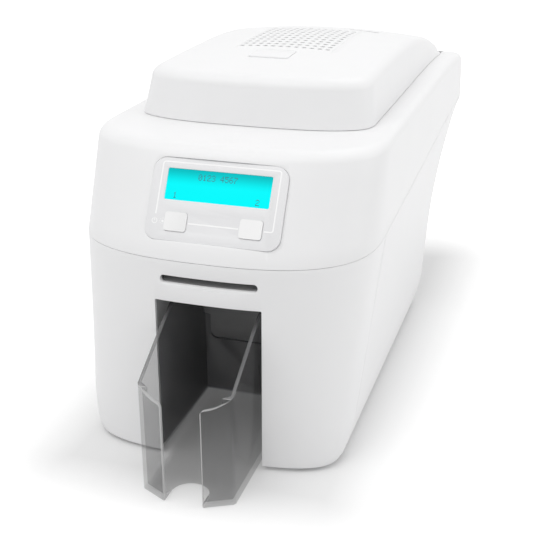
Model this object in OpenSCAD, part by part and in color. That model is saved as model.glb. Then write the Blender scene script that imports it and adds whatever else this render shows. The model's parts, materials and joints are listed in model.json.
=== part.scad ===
// Desktop plastic card printer: a moulded body with a hinged hood, a rear card
// feeder, a front hand-feed slot, a display panel and a clear output hopper.
// Millimetres, +Z up, front towards -Y, origin under the middle at table level.

/* [Body] */
// Greatest width of the body, along the parting line
body_w = 206; // [202:1:210]
// Length of the body from the front face to the rear wall
body_l = 452; // [450:0.5:454]
// Wall of the moulded covers
wall = 2.5; // [2:0.1:2.8]
// Height of the parting line at the front
seam_z = 146; // [145:0.5:147]
// Height of the deck that the hood closes on
deck_z = 212; // [211:0.5:213]
// Height of the crown of the hood
hood_z = 250; // [249:0.5:252]

/* [Card path] */
// Sideways offset of the card path and of all that is centred on it
card_x = 4.5; // [3:0.5:6]
// Width of a plastic card
card_w = 54; // [53.8:0.1:54.2]
// Length of a plastic card
card_l = 85.6; // [85.4:0.1:85.8]
// Height of the underside of a card in the transport
path_z = 133; // [132.5:0.5:133.5]
// Slope of the rear card feeder
feed_tilt = 17.5; // [16:0.5:19]
// Cards shown in the feeder
stack_cards = 45; // [20:1:50]

/* [Output hopper] */
// Reach of the hopper's front lips ahead of the body
hopper_reach = 52; // [48:1:56]
// Width of the hopper over its walls
hopper_w = 64.4; // [62:0.2:66]
// Wall of the clear hopper
hopper_wall = 2.4; // [2:0.1:2.8]

/* [Panel] */
// Width of the control panel
panel_w = 92; // [88:1:96]
// Height of the control panel, measured up its slope
panel_h = 55; // [52:1:57]
// Visible width of the display
lcd_w = 71; // [66:1:74]
// Visible height of the display
lcd_h = 20.8; // [18:0.2:23]

/* [Hidden] */
$fn = 48;
half_w = body_w / 2;
origin_y = (body_l - hopper_reach) / 2;
gap = 0.4;

// Side edge of the front fascia, leaning forward as it goes down
crease_foot = 34;
crease_rate = 0.355;
function crease_y(z) = crease_foot + crease_rate * (z - 3);
crease_top = crease_y(seam_z);

// Parting line: level round the front, rising along the sides
seam_rise = 0.059;
function seam_at(y) = seam_z + seam_rise * max(0, y - crease_top);

// Underside of the rear overhang: a quarter ellipse behind the rear wall
tail_y = 305;
tail_foot = 78;
tail_h = 86;

// Front face above the parting line
face_slope = 0.58;
face_tilt = atan(1 / face_slope);
panel_z = 180;
panel_y = 2.2 + (panel_z - seam_z) * face_slope;

// Chassis
frame_t = 1.5;
frame_in = 45;
shaft_r = 3;
run_gap = 0.05;
bush_r = 5;
platen = [170, path_z - 9];
entry = [262, path_z - 7];
exit = [100, path_z - 7];
pick = [321.2, path_z + 5.5];
supply = [222, 178];
takeup = [118, 176];
gear_module = 1;
motor_teeth = 16;
platen_teeth = 48;
ribbon_teeth = 16;
takeup_teeth = 40;
motor_gap = gear_module * (motor_teeth + platen_teeth) / 2;
motor_axis = [platen[0] + 16, platen[1] - sqrt(pow(motor_gap, 2) - 256)];
ribbon_gap = gear_module * (ribbon_teeth + takeup_teeth) / 2;
ribbon_axis = [takeup[0] - ribbon_gap * cos(45), takeup[1] - ribbon_gap * sin(45)];

// Hood
hood_w = 85.5;
hood_front = 93;
hood_rear = 434;
hood_axis = [420, 206];
lid_w = 49;
lid_front = 294;
lid_axis_y = 392;
lid_barrel = 4;
latch_axis = [152, 228];
latch_pin = [152, 190];
button_y = 164;
vent_from = 188;
vent_to = 276;
vent_w = 75;

// ---------- helpers ----------

// Runs the children along X, from x1 to x2, their own X and Y taken as Y and Z
module along_x(x1, x2) {
    translate([x1, 0, 0]) rotate([90, 0, 90]) linear_extrude(x2 - x1) children();
}

// Round bar along X at a [y, z] axis
module bar_x(at, r, x1, x2) {
    translate([x1, at[0], at[1]]) rotate([0, 90, 0]) cylinder(r = r, h = x2 - x1);
}

module rounded_rect(w, h, r) {
    translate([-w / 2 + r, -h / 2]) square([w - 2 * r, h]);
    translate([-w / 2, -h / 2 + r]) square([w, h - 2 * r]);
    for (sx = [-1, 1], sy = [-1, 1]) {
        translate([sx * (w / 2 - r), sy * (h / 2 - r)]) circle(r = r, $fn = 32);
    }
}

// Places the children on the sloped front face: X across, Y up it, Z out of it
module on_face() {
    translate([card_x, panel_y, panel_z]) rotate([face_tilt, 0, 0]) children();
}

// Moves the working datum, the front face over the table, to the part's origin
module placed() {
    translate([0, -origin_y, 0]) children();
}

// Front edge of a plan outline: shallow across the middle, drawn back hard at the corners
function front_bow(x, w, bow, corner) =
    bow * pow(x / w, 2) + corner * (1 - pow(max(0, 1 - pow(x / w, 3.1)), 1 / 3.1));

// Half of a plan outline, from the front centre round to the rear centre
function half_ring(w, yf, bow, corner, yr, r, steps = 13, sides = 5) = concat(
    [for (i = [0:steps]) let (x = w * sin(90 * i / steps)) [x, yf + front_bow(x, w, bow, corner)]],
    [for (i = [1:sides]) [w, yf + bow + corner + (yr - r - yf - bow - corner) * i / (sides + 1)]],
    [for (i = [0:4]) [w - r + r * cos(22.5 * i), yr - r + r * sin(22.5 * i)]],
    [[0, yr]]
);

// Closed skin through rings given as half outlines of [x, y, z] points, each
// mirrored about x = 0, with caps that join left to right
module skin(halves) {
    h = len(halves[0]) - 1;
    m = 2 * h;
    top = (len(halves) - 1) * m;
    points = [for (half = halves, i = [0:m - 1])
        i <= h ? half[i] : [-half[m - i][0], half[m - i][1], half[m - i][2]]];
    walls = [for (k = [0:len(halves) - 2], i = [0:m - 1]) let (j = (i + 1) % m, a = k * m, b = a + m)
        each [[a + i, b + i, b + j], [a + i, b + j, a + j]]];
    cap = concat([[0, 1, m - 1]],
        [for (i = [1:h - 3]) each [[i, i + 1, m - i - 1], [i, m - i - 1, m - i]]],
        [[h - 2, h - 1, h], [h - 2, h, h + 2], [h, h + 1, h + 2]]);
    lid = [for (f = cap) [top + f[2], top + f[1], top + f[0]]];
    polyhedron(points = points, faces = concat(walls, cap, lid), convexity = 8);
}

// Spur gear in the XY plane, centred, with one tooth on +X turned by phase
module spur(teeth, phase = 0, bore = 0) {
    rp = gear_module * teeth / 2;
    tip = rp + 0.9 * gear_module;
    root = rp - 1.2 * gear_module;
    pitch = 360 / teeth;
    difference() {
        polygon([for (i = [0:teeth - 1]) let (a = i * pitch + phase) each [
            [root * cos(a - 0.34 * pitch), root * sin(a - 0.34 * pitch)],
            [rp * cos(a - 0.22 * pitch), rp * sin(a - 0.22 * pitch)],
            [tip * cos(a - 0.1 * pitch), tip * sin(a - 0.1 * pitch)],
            [tip * cos(a + 0.1 * pitch), tip * sin(a + 0.1 * pitch)],
            [rp * cos(a + 0.22 * pitch), rp * sin(a + 0.22 * pitch)],
            [root * cos(a + 0.34 * pitch), root * sin(a + 0.34 * pitch)]
        ]]);
        if (bore > 0) circle(r = bore);
    }
}

// ---------- outer covers ----------

// Lower body, drawn t inside its outer face: the sides roll in to the foot
function lower_level(z, w, t) = [for (p = half_ring(w - t, t, 7.6 * z / seam_z + 0.5 - 0.5 * z / seam_z,
    crease_y(z) - 7.6 * z / seam_z, body_l - t, 14 - t)) [p[0], p[1], z]];

module lower_form(t) {
    difference() {
        skin([
            lower_level(3 + t, half_w - 14.6, t),
            lower_level(6 + t, half_w - 12.6, t),
            lower_level(12 + t, half_w - 10.6, t),
            lower_level(21 + t, half_w - 8.8, t),
            lower_level(32, half_w - 7.5, t),
            lower_level(seam_z + 1, half_w, t),
            lower_level(seam_z + 26, half_w, t)
        ]);
        along_x(-half_w - 5, half_w + 5) tail_void(t);
    }
}

// What the rear overhang leaves free, grown by t
module tail_void(t) {
    translate([tail_y - t, -10]) square([300, tail_foot + 10]);
    intersection() {
        translate([tail_y - t, tail_foot]) square([body_l - tail_y + t, tail_h + t]);
        translate([body_l, tail_foot]) oval(body_l - tail_y + t, tail_h + t);
    }
    translate([body_l - 0.01, tail_foot - 1]) square([40, tail_h + t + 1]);
}

// Ellipse as a polygon, wide in X
module oval(a, b) {
    polygon([for (i = [0:71]) [a * cos(5 * i), b * sin(5 * i)]]);
}

// Everything above the parting line, lifted by dz
module above_seam(dz) {
    along_x(-half_w - 5, half_w + 5) polygon([
        [-80, seam_z + dz],
        [crease_top, seam_z + dz],
        [body_l + 20, seam_at(body_l + 20) + dz],
        [body_l + 20, 400],
        [-80, 400]
    ]);
}

// Everything below the parting line, lifted by dz
module below_seam(dz) {
    along_x(-half_w - 6, half_w + 6) polygon([
        [-90, -5],
        [body_l + 30, -5],
        [body_l + 30, seam_at(body_l + 30) + dz],
        [crease_top, seam_z + dz],
        [-90, seam_z + dz]
    ]);
}

// Region ahead of the crease, moved back by dy
module ahead_of_crease(dy) {
    along_x(-half_w - 5, half_w + 5) polygon([
        [-80, -1],
        [crease_y(-1) + dy, -1],
        [crease_y(seam_z + 40) + dy, seam_z + 40],
        [-80, seam_z + 40]
    ]);
}

module lower_shell() {
    difference() {
        lower_form(0);
        lower_form(wall);
        above_seam(-gap / 2);
        translate([0, 0, -1]) linear_extrude(12) floor_outline(0.5);
    }
}

// Plan of the base tray, grown by d; its front corners follow the fascia
module floor_outline(d) {
    polygon([
        [-77.5 - d, 294.5 + d], [-77.5 - d, 14.5 - d], [-63.5 - d, 8.7 - d],
        [63.5 + d, 8.7 - d], [77.5 + d, 14.5 - d], [77.5 + d, 294.5 + d]
    ]);
}

rear_z = 42;
module rear_ports() {
    translate([-52, rear_z]) rounded_rect(27.6, 20, 3);
    translate([-22, rear_z]) square([13.2, 19.6], center = true);
    translate([18, rear_z - 3]) square([12.4, 11.4], center = true);
    translate([46, rear_z - 2]) square([16.4, 13.4], center = true);
}

module lower_housing() {
    color("whitesmoke") difference() {
        union() {
            difference() {
                lower_shell();
                ahead_of_crease(gap / 2);
            }
            for (sx = [-1, 1], y = [70, 286]) {
                translate([sx * 88, y, 8]) cylinder(r = 5, h = 40);
                translate([sx * 91.5, y, 28]) cube([7, 3, 40], center = true);
            }
        }
        translate([0, tail_y + 20, 0]) rotate([90, 0, 0]) linear_extrude(60) rear_ports();
        for (sx = [-1, 1], y = [70, 286]) translate([sx * 88, y, 1]) cylinder(r = 1.6, h = 40);
    }
}

bay_w = 73;
bay_top = 117.5;
slot_w = 66;
slot_h = 5.2;

// Outline of the hopper bay seen from the front
module bay_outline(grow) {
    translate([card_x - bay_w / 2 - grow, 7.5 - grow]) square([bay_w + 2 * grow, bay_top - 11.5 + grow]);
    translate([card_x - bay_w / 2 + 4, bay_top - 8]) square([bay_w - 8, 8 + grow]);
    for (sx = [-1, 1]) {
        translate([card_x + sx * (bay_w / 2 - 4), bay_top - 4]) circle(r = 4 + grow, $fn = 32);
    }
}

module front_fascia() {
    color("whitesmoke") difference() {
        intersection() {
            lower_shell();
            ahead_of_crease(-gap / 2);
        }
        translate([0, 60, 0]) rotate([90, 0, 0]) linear_extrude(90) {
            translate([card_x, path_z]) rounded_rect(slot_w, slot_h, slot_h / 2 - 0.01);
            bay_outline(0);
            translate([card_x - bay_w / 2, -1]) square([bay_w, 12]);
        }
    }
}

// Moulded throat that leads a hand-fed card from the front slot to the rollers
module card_slot_guide() {
    color("dimgray") difference() {
        union() {
            along_x(card_x - slot_w / 2 - 2, card_x + slot_w / 2 + 2) polygon([
                [4, path_z - 4.6], [86, path_z - 2.6], [86, path_z + 3.6], [4, path_z + 4.6]
            ]);
            along_x(card_x - frame_in, card_x + frame_in) polygon([
                [72, path_z - 2.6], [82, path_z - 2.4], [82, path_z + 3.4], [72, path_z + 3.6]
            ]);
        }
        along_x(card_x - slot_w / 2, card_x + slot_w / 2) polygon([
            [3, path_z - 2.6], [30, path_z - 0.6], [87, path_z - 0.6],
            [87, path_z + 1.6], [30, path_z + 1.6], [3, path_z + 2.6]
        ]);
        difference() {
            translate([-80, -10, path_z - 10]) cube([160, 40, 20]);
            translate([0, 0, path_z - 10]) linear_extrude(20) {
                polygon([for (i = [-12:12]) [i * 5, front_bow(abs(i) * 5, half_w, 7.6, 76.4) + wall + 0.6]]);
                translate([-60, 7]) square([120, 60]);
            }
        }
    }
}

// Liner of the bay that the clear hopper slides into
module hopper_bay() {
    color("gainsboro") difference() {
        translate([0, 90, 0]) rotate([90, 0, 0]) linear_extrude(90) difference() {
            bay_outline(2);
            bay_outline(0);
            translate([card_x - bay_w / 2, 0]) square([bay_w, 8]);
        }
        bay_front_cut();
        translate([card_x - 31, 52, bay_top - 10]) cube([62, 34, 30]);
    }
    color("gainsboro") difference() {
        translate([0, 92, 0]) rotate([90, 0, 0]) linear_extrude(2) bay_outline(2);
    }
}

// Clears what lies ahead of the fascia's inner face
module bay_front_cut() {
    translate([0, 0, -1]) linear_extrude(140) difference() {
        translate([-80, -10]) square([160, 40]);
        polygon(concat(
            [for (i = [-12:12]) [i * 5, front_bow(abs(i) * 5, half_w, 7.6, 76.4) + wall + 0.5]],
            [[60, 60], [-60, 60]]
        ));
    }
}

// Upper body, drawn t inside its outer face
function deck_drop(y) = y < 320 ? 0 : 6 * pow((y - 320) / 125, 2);
function upper_level(z, inset, t) = let (
        f = max(0, z - seam_z) / 66,
        lean = 12 * pow(f, 1.5),
        d = inset + t
    ) [for (p = half_ring(half_w - d, face_slope * max(0, z - seam_z) + 0.6 * f + 1.1 * d,
        7.6 - 4.6 * f, 76.4 - 16 * f, body_l - lean - d, max(4, 14 - d)))
    [p[0], p[1], z - (f > 0.5 ? deck_drop(p[1]) * min(1, f) : 0)]];

module upper_form(t) {
    skin([
        upper_level(seam_z - 6 - 4 * t, 0, t),
        upper_level(seam_z + 0.2, 0, t),
        upper_level(seam_z + 34, 0, t),
        upper_level(deck_z - 6.5, 0, t),
        upper_level(deck_z - 3.2 - t * 0.6, 1, t),
        upper_level(deck_z - 1.1 - t * 0.9, 3.2, t),
        upper_level(deck_z - t, 6.4, t)
    ]);
}

module upper_housing() {
    color("white") difference() {
        upper_form(0);
        upper_form(wall);
        below_seam(gap / 2);
        on_face() translate([0, 0, -12]) linear_extrude(20) rounded_rect(panel_w, panel_h, 9);
        translate([-66, 106, deck_z - 20]) cube([138, 172, 40]);
        translate([card_x - 34, 292, deck_z - 20]) cube([68, 98, 40]);
        translate([-84.5, 412, deck_z - 20]) cube([169, 22.7, 40]);
    }
}

// ---------- control panel ----------

module key_outline(grow) {
    rounded_rect(15 + 2 * grow, 12.4 + 2 * grow, 3);
}

module control_panel() {
    color("gainsboro") on_face() {
        translate([0, 0, -0.8]) linear_extrude(1.2) difference() {
            rounded_rect(panel_w - 0.6, panel_h - 0.6, 8.8);
            translate([0, 10]) rounded_rect(lcd_w, lcd_h, 1);
            for (u = [-25, 26]) translate([u, -14.6]) key_outline(0.3);
        }
        translate([0, 0, -4.6]) linear_extrude(4) difference() {
            rounded_rect(panel_w - 0.6, panel_h - 0.6, 8.8);
            rounded_rect(panel_w - 9, panel_h - 6, 6);
        }
    }
}

module display_window() {
    color("cyan", 0.6) on_face() translate([0, 10, -0.9]) linear_extrude(1) {
        rounded_rect(lcd_w - 0.3, lcd_h - 0.3, 0.9);
    }
}

module display_module() {
    color("darkslategray") on_face() translate([0, 10, -8.5]) {
        linear_extrude(7.6) rounded_rect(lcd_w + 8, lcd_h + 8, 5);
        linear_extrude(3.9) rounded_rect(lcd_w + 14.6, lcd_h + 8, 1);
    }
}

module key_cap(u) {
    on_face() translate([u, -14.6, -2.4]) {
        linear_extrude(4) key_outline(0);
        linear_extrude(0.9) rounded_rect(17, 14.4, 3);
    }
}

module left_key() {
    color("white") key_cap(-25);
}

module right_key() {
    color("white") key_cap(26);
}

module key_board() {
    color("seagreen") on_face() translate([0, -15, -6.2]) {
        linear_extrude(1.6) rounded_rect(lcd_w + 14.6, 18, 1);
        for (u = [-25, 26]) translate([u, 0.4, 1.6]) cylinder(r = 3, h = 1);
    }
}

// ---------- base and chassis ----------

module base_tray() {
    color("silver") difference() {
        union() {
            translate([0, 0, 3.2]) linear_extrude(2.3) floor_outline(0);
            for (x = [-76, -50, 58, 74.5]) translate([x, 96, 5]) cube([1.6, 197, 5]);
            for (y = [96, 160, 224, 286]) translate([-76, y, 5]) cube([152, 1.6, 5]);
            for (sx = [-1, 1], y = [26, 274]) translate([sx * 66, y, 3.2]) cylinder(r = 11, h = 4);
            at_frame_screws() translate([0, 0, -6.6]) cylinder(r = 3.6, h = 5);
        }
        at_frame_screws() translate([0, 0, -7]) cylinder(r = 1.45, h = 9);
        translate([card_x - 36.6, -1, 0]) cube([73.2, 93, 20]);
        for (sx = [-1, 1], y = [26, 274]) translate([sx * 66, y, 0]) cylinder(r = 9.2, h = 4.5);
    }
}

// Places the children on each screw that holds a side plate down, at the screw head
module at_frame_screws() {
    for (sx = [-1, 1], y = [108, 122, 238, 252]) {
        translate([card_x + sx * (frame_in + 6), y, 11.6]) children();
    }
}

module rubber_feet() {
    color("dimgray") for (sx = [-1, 1], y = [26, 274]) translate([sx * 66, y, 0]) {
        rotate_extrude() polygon([[0, 0], [8, 0], [9, 1], [9, 4.5], [0, 4.5]]);
    }
}

// Steel side plate: spool notches at the top, shaft holes below
module frame_plate() {
    difference() {
        polygon([
            [62, 10], [264, 10], [264, 70], [296, 104], [312, 112], [322, 124], [332, 133],
            [342, 141], [350, 145.5], [350, 160], [318, 186],
            [262, 200], [246, 200], [240, 188], [204, 188], [198, 200], [148, 200],
            [142, 188], [102, 188], [96, 192], [78, 180], [66, 160], [62, 140]
        ]);
        for (at = [platen, entry, exit, pick]) translate(at) circle(r = bush_r);
        translate([entry[0], path_z + 8.9]) circle(r = shaft_r + run_gap);
        translate([exit[0], path_z + 6.3]) circle(r = 2 + run_gap);
        for (at = [supply, takeup]) {
            translate(at) circle(r = 5 + run_gap);
            translate([at[0] - 5 - run_gap, at[1]]) square([10 + 2 * run_gap, 20]);
        }
        translate([216, 92]) circle(r = 16);
        translate([234, 48]) circle(r = 18);
        translate([110, 60]) circle(r = 22);
    }
}

// Turned-out foot of a side plate, drilled for two screws
module frame_foot(x, y, hole_x) {
    difference() {
        translate([x, y, 10.1]) cube([9, 30, 1.5]);
        for (dy = [8, 22]) translate([hole_x, y + dy, 5]) cylinder(r = 1.45, h = 12);
    }
}

module side_frame_left() {
    color("lightsteelblue") {
        along_x(card_x - frame_in - frame_t, card_x - frame_in) frame_plate();
        for (y = [100, 230]) frame_foot(card_x - frame_in - 10, y, card_x - frame_in - 6);
    }
}

module side_frame_right() {
    color("lightsteelblue") {
        along_x(card_x + frame_in, card_x + frame_in + frame_t) difference() {
            frame_plate();
            translate(motor_axis) circle(r = 11);
            translate(ribbon_axis) circle(r = 9);
        }
        for (y = [100, 230]) frame_foot(card_x + frame_in + 1, y, card_x + frame_in + 6);
    }
}

module tie_bars() {
    color("silver") for (at = [[98, 98], [140, 40], [288, 105]]) {
        bar_x(at, 3, card_x - frame_in, card_x + frame_in);
    }
}

module shaft_bushes() {
    color("darkgoldenrod") for (at = [platen, entry, exit, pick], sx = [-1, 1]) {
        translate([card_x + sx * (frame_in + frame_t / 2), at[0], at[1]]) rotate([0, 90, 0]) difference() {
            union() {
                cylinder(r = bush_r, h = 5, center = true);
                translate([0, 0, sx * -1.75 - 0.75]) cylinder(r = 6.5, h = 1.5);
            }
            cylinder(r = shaft_r + run_gap, h = 12, center = true);
        }
    }
}

// Roller on a stepped shaft that reaches the pulleys outside the right frame
module roller(at, r, shaft, reach) {
    color("silver") bar_x(at, shaft, card_x - frame_in - 4, card_x + frame_in + reach);
    color("dimgray") bar_x(at, r, card_x - 29, card_x + 29);
}

belt_x = card_x + frame_in + 7;
belt_w = 4;
belt_step = 7;
pulley_r = 9;

// Toothed pulley with side flanges, on the layer-th belt
module pulley(at, layer) {
    x = belt_x + layer * belt_step;
    color("ivory") difference() {
        union() {
            translate([x - 0.5, at[0], at[1]]) rotate([0, 90, 0]) {
                linear_extrude(belt_w + 1) circle(r = pulley_r);
            }
            for (dx = [-1.5, belt_w + 0.5]) bar_x(at, pulley_r + 2.2, x + dx, x + dx + 1);
        }
        bar_x(at, shaft_r, x - 5, x + 12);
    }
}

module platen_roller() {
    roller(platen, 9, shaft_r, 28);
}

gear_x = card_x + frame_in + 22;
module platen_gear() {
    pulley(platen, 0);
    pulley(platen, 1);
    color("ivory") translate([gear_x, platen[0], platen[1]]) rotate([90, 0, 90]) difference() {
        linear_extrude(5) spur(platen_teeth, 0, shaft_r);
        for (a = [0:60:300]) rotate(a) translate([14, 0, -1]) cylinder(r = 4, h = 7);
    }
}

module entry_roller() {
    roller(entry, 7, shaft_r, 21);
    pulley(entry, 1);
    pulley(entry, 0);
}

module cleaning_roller() {
    at = [entry[0], path_z + 8.9];
    color("silver") bar_x(at, shaft_r, card_x - frame_in - 3, card_x + frame_in + 3);
    color("deepskyblue") bar_x(at, 7.8, card_x - 28, card_x + 28);
}

module exit_roller() {
    roller(exit, 7, shaft_r, 14);
    pulley(exit, 0);
}

module pinch_roller() {
    at = [exit[0], path_z + 6.3];
    color("silver") bar_x(at, 2, card_x - frame_in - 3, card_x + frame_in + 3);
    for (dx = [-20, 20]) color("dimgray") bar_x(at, 5, card_x + dx - 6, card_x + dx + 6);
}

module pick_roller() {
    color("silver") bar_x(pick, shaft_r, card_x - frame_in - 4, card_x + frame_in + 14);
    color("dimgray") bar_x(pick, 6, card_x - 12, card_x + 12);
    pulley(pick, 0);
}

// Closed belt round two equal pulleys
module belt(a, b, layer) {
    x = belt_x + layer * belt_step;
    d = norm(b - a);
    turn = atan2(b[1] - a[1], b[0] - a[0]);
    inner = pulley_r + 0.35;
    outer = inner + 1.3;
    along_x(x, x + belt_w) translate(a) rotate(turn) {
        for (s = [-1, 1]) translate([0, s > 0 ? inner : -outer]) square([d, outer - inner]);
        difference() {
            circle(r = outer);
            circle(r = inner);
            translate([0, -20]) square(40);
        }
        translate([d, 0]) difference() {
            circle(r = outer);
            circle(r = inner);
            translate([-40, -20]) square(40);
        }
    }
}

module drive_belts() {
    color("#333333") {
        belt(exit, platen, 0);
        belt(platen, entry, 1);
        belt(entry, pick, 0);
    }
}

module drive_motor() {
    x = card_x + frame_in;
    color("dimgray") difference() {
        translate([x - 32, motor_axis[0] - 17.5, motor_axis[1] - 17.5]) cube([32, 35, 35]);
        for (sy = [-1, 1], sz = [-1, 1]) {
            translate([x - 16, motor_axis[0] + sy * 19, motor_axis[1] + sz * 19]) {
                rotate([45, 0, 0]) cube([40, 5, 5], center = true);
            }
        }
    }
    color("silver") bar_x(motor_axis, 10.9, x - 1, x + 3);
}

// A gap between two teeth faces the platen gear
module motor_pinion() {
    turn = atan2(platen[1] - motor_axis[1], platen[0] - motor_axis[0]);
    tooth = 360 / motor_teeth;
    platen_side = (turn + 180) * platen_teeth / motor_teeth;
    color("goldenrod") translate([gear_x - 0.5, motor_axis[0], motor_axis[1]]) rotate([90, 0, 90]) {
        linear_extrude(6) spur(motor_teeth, turn + tooth / 2 + platen_side, 2.5);
    }
    color("silver") bar_x(motor_axis, 2.5, card_x + frame_in + 3.2, gear_x + 7);
}

module card_guides() {
    color("slategray") for (sx = [-1, 1]) {
        difference() {
            translate([card_x + sx * 38.55 - 6.45, 90, path_z - 5]) cube([12.9, 214, 9]);
            translate([card_x + sx * 31 - 4, 80, path_z - 0.6]) cube([8, 240, 2]);
            for (at = [platen, entry, exit]) bar_x(at, 10, card_x - 60, card_x + 60);
            bar_x([entry[0], path_z + 8.9], 9, card_x - 60, card_x + 60);
            bar_x([exit[0], path_z + 6.3], 6, card_x - 60, card_x + 60);
        }
    }
}

module exit_chute() {
    color("slategray") {
        along_x(card_x - 29, card_x + 29) polygon([
            [90.5, path_z - 5], [90.5, path_z - 3.4], [80, path_z - 7.6],
            [64, 114.6], [64, 113], [82, path_z - 10.4]
        ]);
        for (sx = [-1, 1]) translate([card_x + sx * 36.5 - 8.5, 83, path_z - 8.4]) cube([17, 4, 3]);
    }
}

// ---------- ribbon ----------

module spool_core(at, reach) {
    bar_x(at, 5, card_x - frame_in - 3, card_x + frame_in + reach);
    bar_x(at, 9, card_x - 42, card_x + 42);
    for (sx = [-1, 1]) bar_x(at, 11, card_x + sx * 37.5 - 1, card_x + sx * 37.5 + 1);
}

module supply_core() {
    color("lightgray") spool_core(supply, 3);
}

module film_roll(at, r) {
    difference() {
        bar_x(at, r, card_x - 30.5, card_x + 30.5);
        bar_x(at, 9, card_x - 40, card_x + 40);
    }
}

module supply_film() {
    color("purple") film_roll(supply, 16.5);
}

module takeup_core() {
    color("lightgray") spool_core(takeup, 14);
}

module takeup_film() {
    color("saddlebrown") film_roll(takeup, 12.5);
}

takeup_x = card_x + frame_in + 5;
module takeup_gear() {
    color("ivory") translate([takeup_x, takeup[0], takeup[1]]) rotate([90, 0, 90]) difference() {
        linear_extrude(5) spur(takeup_teeth, 0, 5);
        for (a = [0:60:300]) rotate(a) translate([12, 0, -1]) cylinder(r = 3.4, h = 7);
    }
}

module ribbon_motor() {
    x = card_x + frame_in;
    color("dimgray") bar_x(ribbon_axis, 13, x - 13, x);
    color("silver") bar_x(ribbon_axis, 8.9, x - 1, x + 3);
}

module ribbon_pinion() {
    turn = 45;
    tooth = 360 / ribbon_teeth;
    far_side = (turn + 180) * takeup_teeth / ribbon_teeth;
    color("goldenrod") translate([takeup_x - 0.5, ribbon_axis[0], ribbon_axis[1]]) rotate([90, 0, 90]) {
        linear_extrude(6) spur(ribbon_teeth, turn + tooth / 2 + far_side, 2);
    }
    color("silver") bar_x(ribbon_axis, 2, card_x + frame_in + 3.2, takeup_x + 7);
}

// ---------- rear feeder ----------

// Places the children on the feeder slope: Y up it towards the rear, Z off it
module on_feeder() {
    translate([card_x, 308, path_z + 8]) rotate([feed_tilt, 0, 0]) children();
}

stack_h = stack_cards * 0.76;
module card_tray() {
    color("slategray") on_feeder() difference() {
        union() {
            translate([-card_w / 2 - 3.5, -4, -2.6]) cube([card_w + 7, card_l + 8, stack_h + 14]);
            translate([-frame_in, 26, -2.6]) cube([2 * frame_in, 8, 4]);
        }
        translate([-card_w / 2 - 0.8, -1, -0.2]) cube([card_w + 1.6, card_l + 2, 90]);
        translate([-17, -6, -4]) cube([34, 34, 8]);
        translate([-card_w / 2 - 0.8, -6, -0.2]) cube([card_w + 1.6, 8, 1.4]);
        translate([-15, card_l - 6, -4]) cube([30, 20, 90]);
        for (sx = [-1, 1]) translate([sx * 31 - 5, 30, 14]) cube([10, 26, 90]);
    }
}

module card_stack() {
    color("white") on_feeder() difference() {
        linear_extrude(stack_h) translate([0, card_l / 2]) rounded_rect(card_w, card_l, 3.2);
        for (i = [1:8]) translate([-40, -5, i * stack_h / 9]) difference() {
            cube([80, 100, 0.25]);
            translate([13.3, 5.3, -1]) cube([53.4, card_l - 0.6, 3]);
        }
    }
}

module card_weight() {
    color("dimgray") on_feeder() translate([0, 0, stack_h + 0.3]) difference() {
        union() {
            translate([-25, 16, 0]) cube([50, 54, 7]);
            translate([-30.6, 36, 3]) cube([61.2, 14, 4]);
            translate([-5, 40, 6]) cube([10, 6, 8]);
        }
        translate([-18, 22, 2.5]) cube([36, 12, 6]);
        translate([-18, 52, 2.5]) cube([36, 12, 6]);
    }
}

// ---------- electronics ----------

module main_board() {
    color("darkgreen") translate([-62, 100, 60]) cube([1.6, 190, 90]);
    chips = [[120, 90, 26, 26], [165, 84, 18, 30], [210, 110, 22, 22], [250, 80, 14, 40]];
    color("#222222") for (p = chips) translate([-64.6, p[0], p[1]]) cube([3, p[2], p[3]]);
    color("ivory") for (y = [110, 150, 190, 230]) translate([-69, y, 138]) cube([7, 22, 7]);
    color("silver") for (at = [[132, 88], [132, 146], [250, 88], [284, 146]]) {
        bar_x(at, 2.6, -60.4, card_x - frame_in - frame_t);
    }
}

module power_supply() {
    color("darkgreen") translate([-86, 150, 16]) cube([34, 120, 1.6]);
    color("silver") {
        translate([-84, 156, 17]) cube([3, 90, 26]);
        translate([-60, 170, 17]) cube([3, 80, 26]);
    }
    color("gold") translate([-79, 190, 17]) cube([17, 22, 20]);
    color("#222222") for (y = [162, 224, 244]) translate([-71, y, 17]) cylinder(r = 7, h = 24);
    color("silver") for (x = [-72, -56], y = [156, 257]) translate([x, y, 5.5]) cylinder(r = 2.4, h = 10.6);
}

module power_inlet() {
    color("#222222") translate([-52, 0, rear_z]) {
        translate([0, tail_y - wall - 12, 0]) rotate([-90, 0, 0]) difference() {
            linear_extrude(14.5 + 0.4) rounded_rect(27.2, 19.6, 2.9);
            translate([0, 0, 3]) linear_extrude(20) rounded_rect(23.4, 15.8, 3);
        }
        for (p = [[-6, -1], [0, 3], [6, -1]]) {
            translate([p[0], tail_y - 8, p[1]]) cube([2, 10, 4], center = true);
        }
    }
    color("#222222") translate([-22, tail_y - 7, rear_z]) difference() {
        translate([-6.4, -9, -9.6]) cube([12.8, 16.4, 19.2]);
        translate([-5.4, -7, -8.9]) cube([10.8, 16, 17.8]);
    }
    color("silver") bar_x(rocker, 1.2, -22 - 6, -22 + 6);
}

rocker = [tail_y - 4, rear_z];
module power_rocker() {
    color("#222222") along_x(-22 - 5, -22 + 5) translate(rocker) rotate(7) difference() {
        circle(r = 8.4);
        circle(r = 1.2 + run_gap);
        translate([4.2, -10]) square([10, 20]);
        translate([-20, -10]) square([17, 20]);
    }
}

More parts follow.
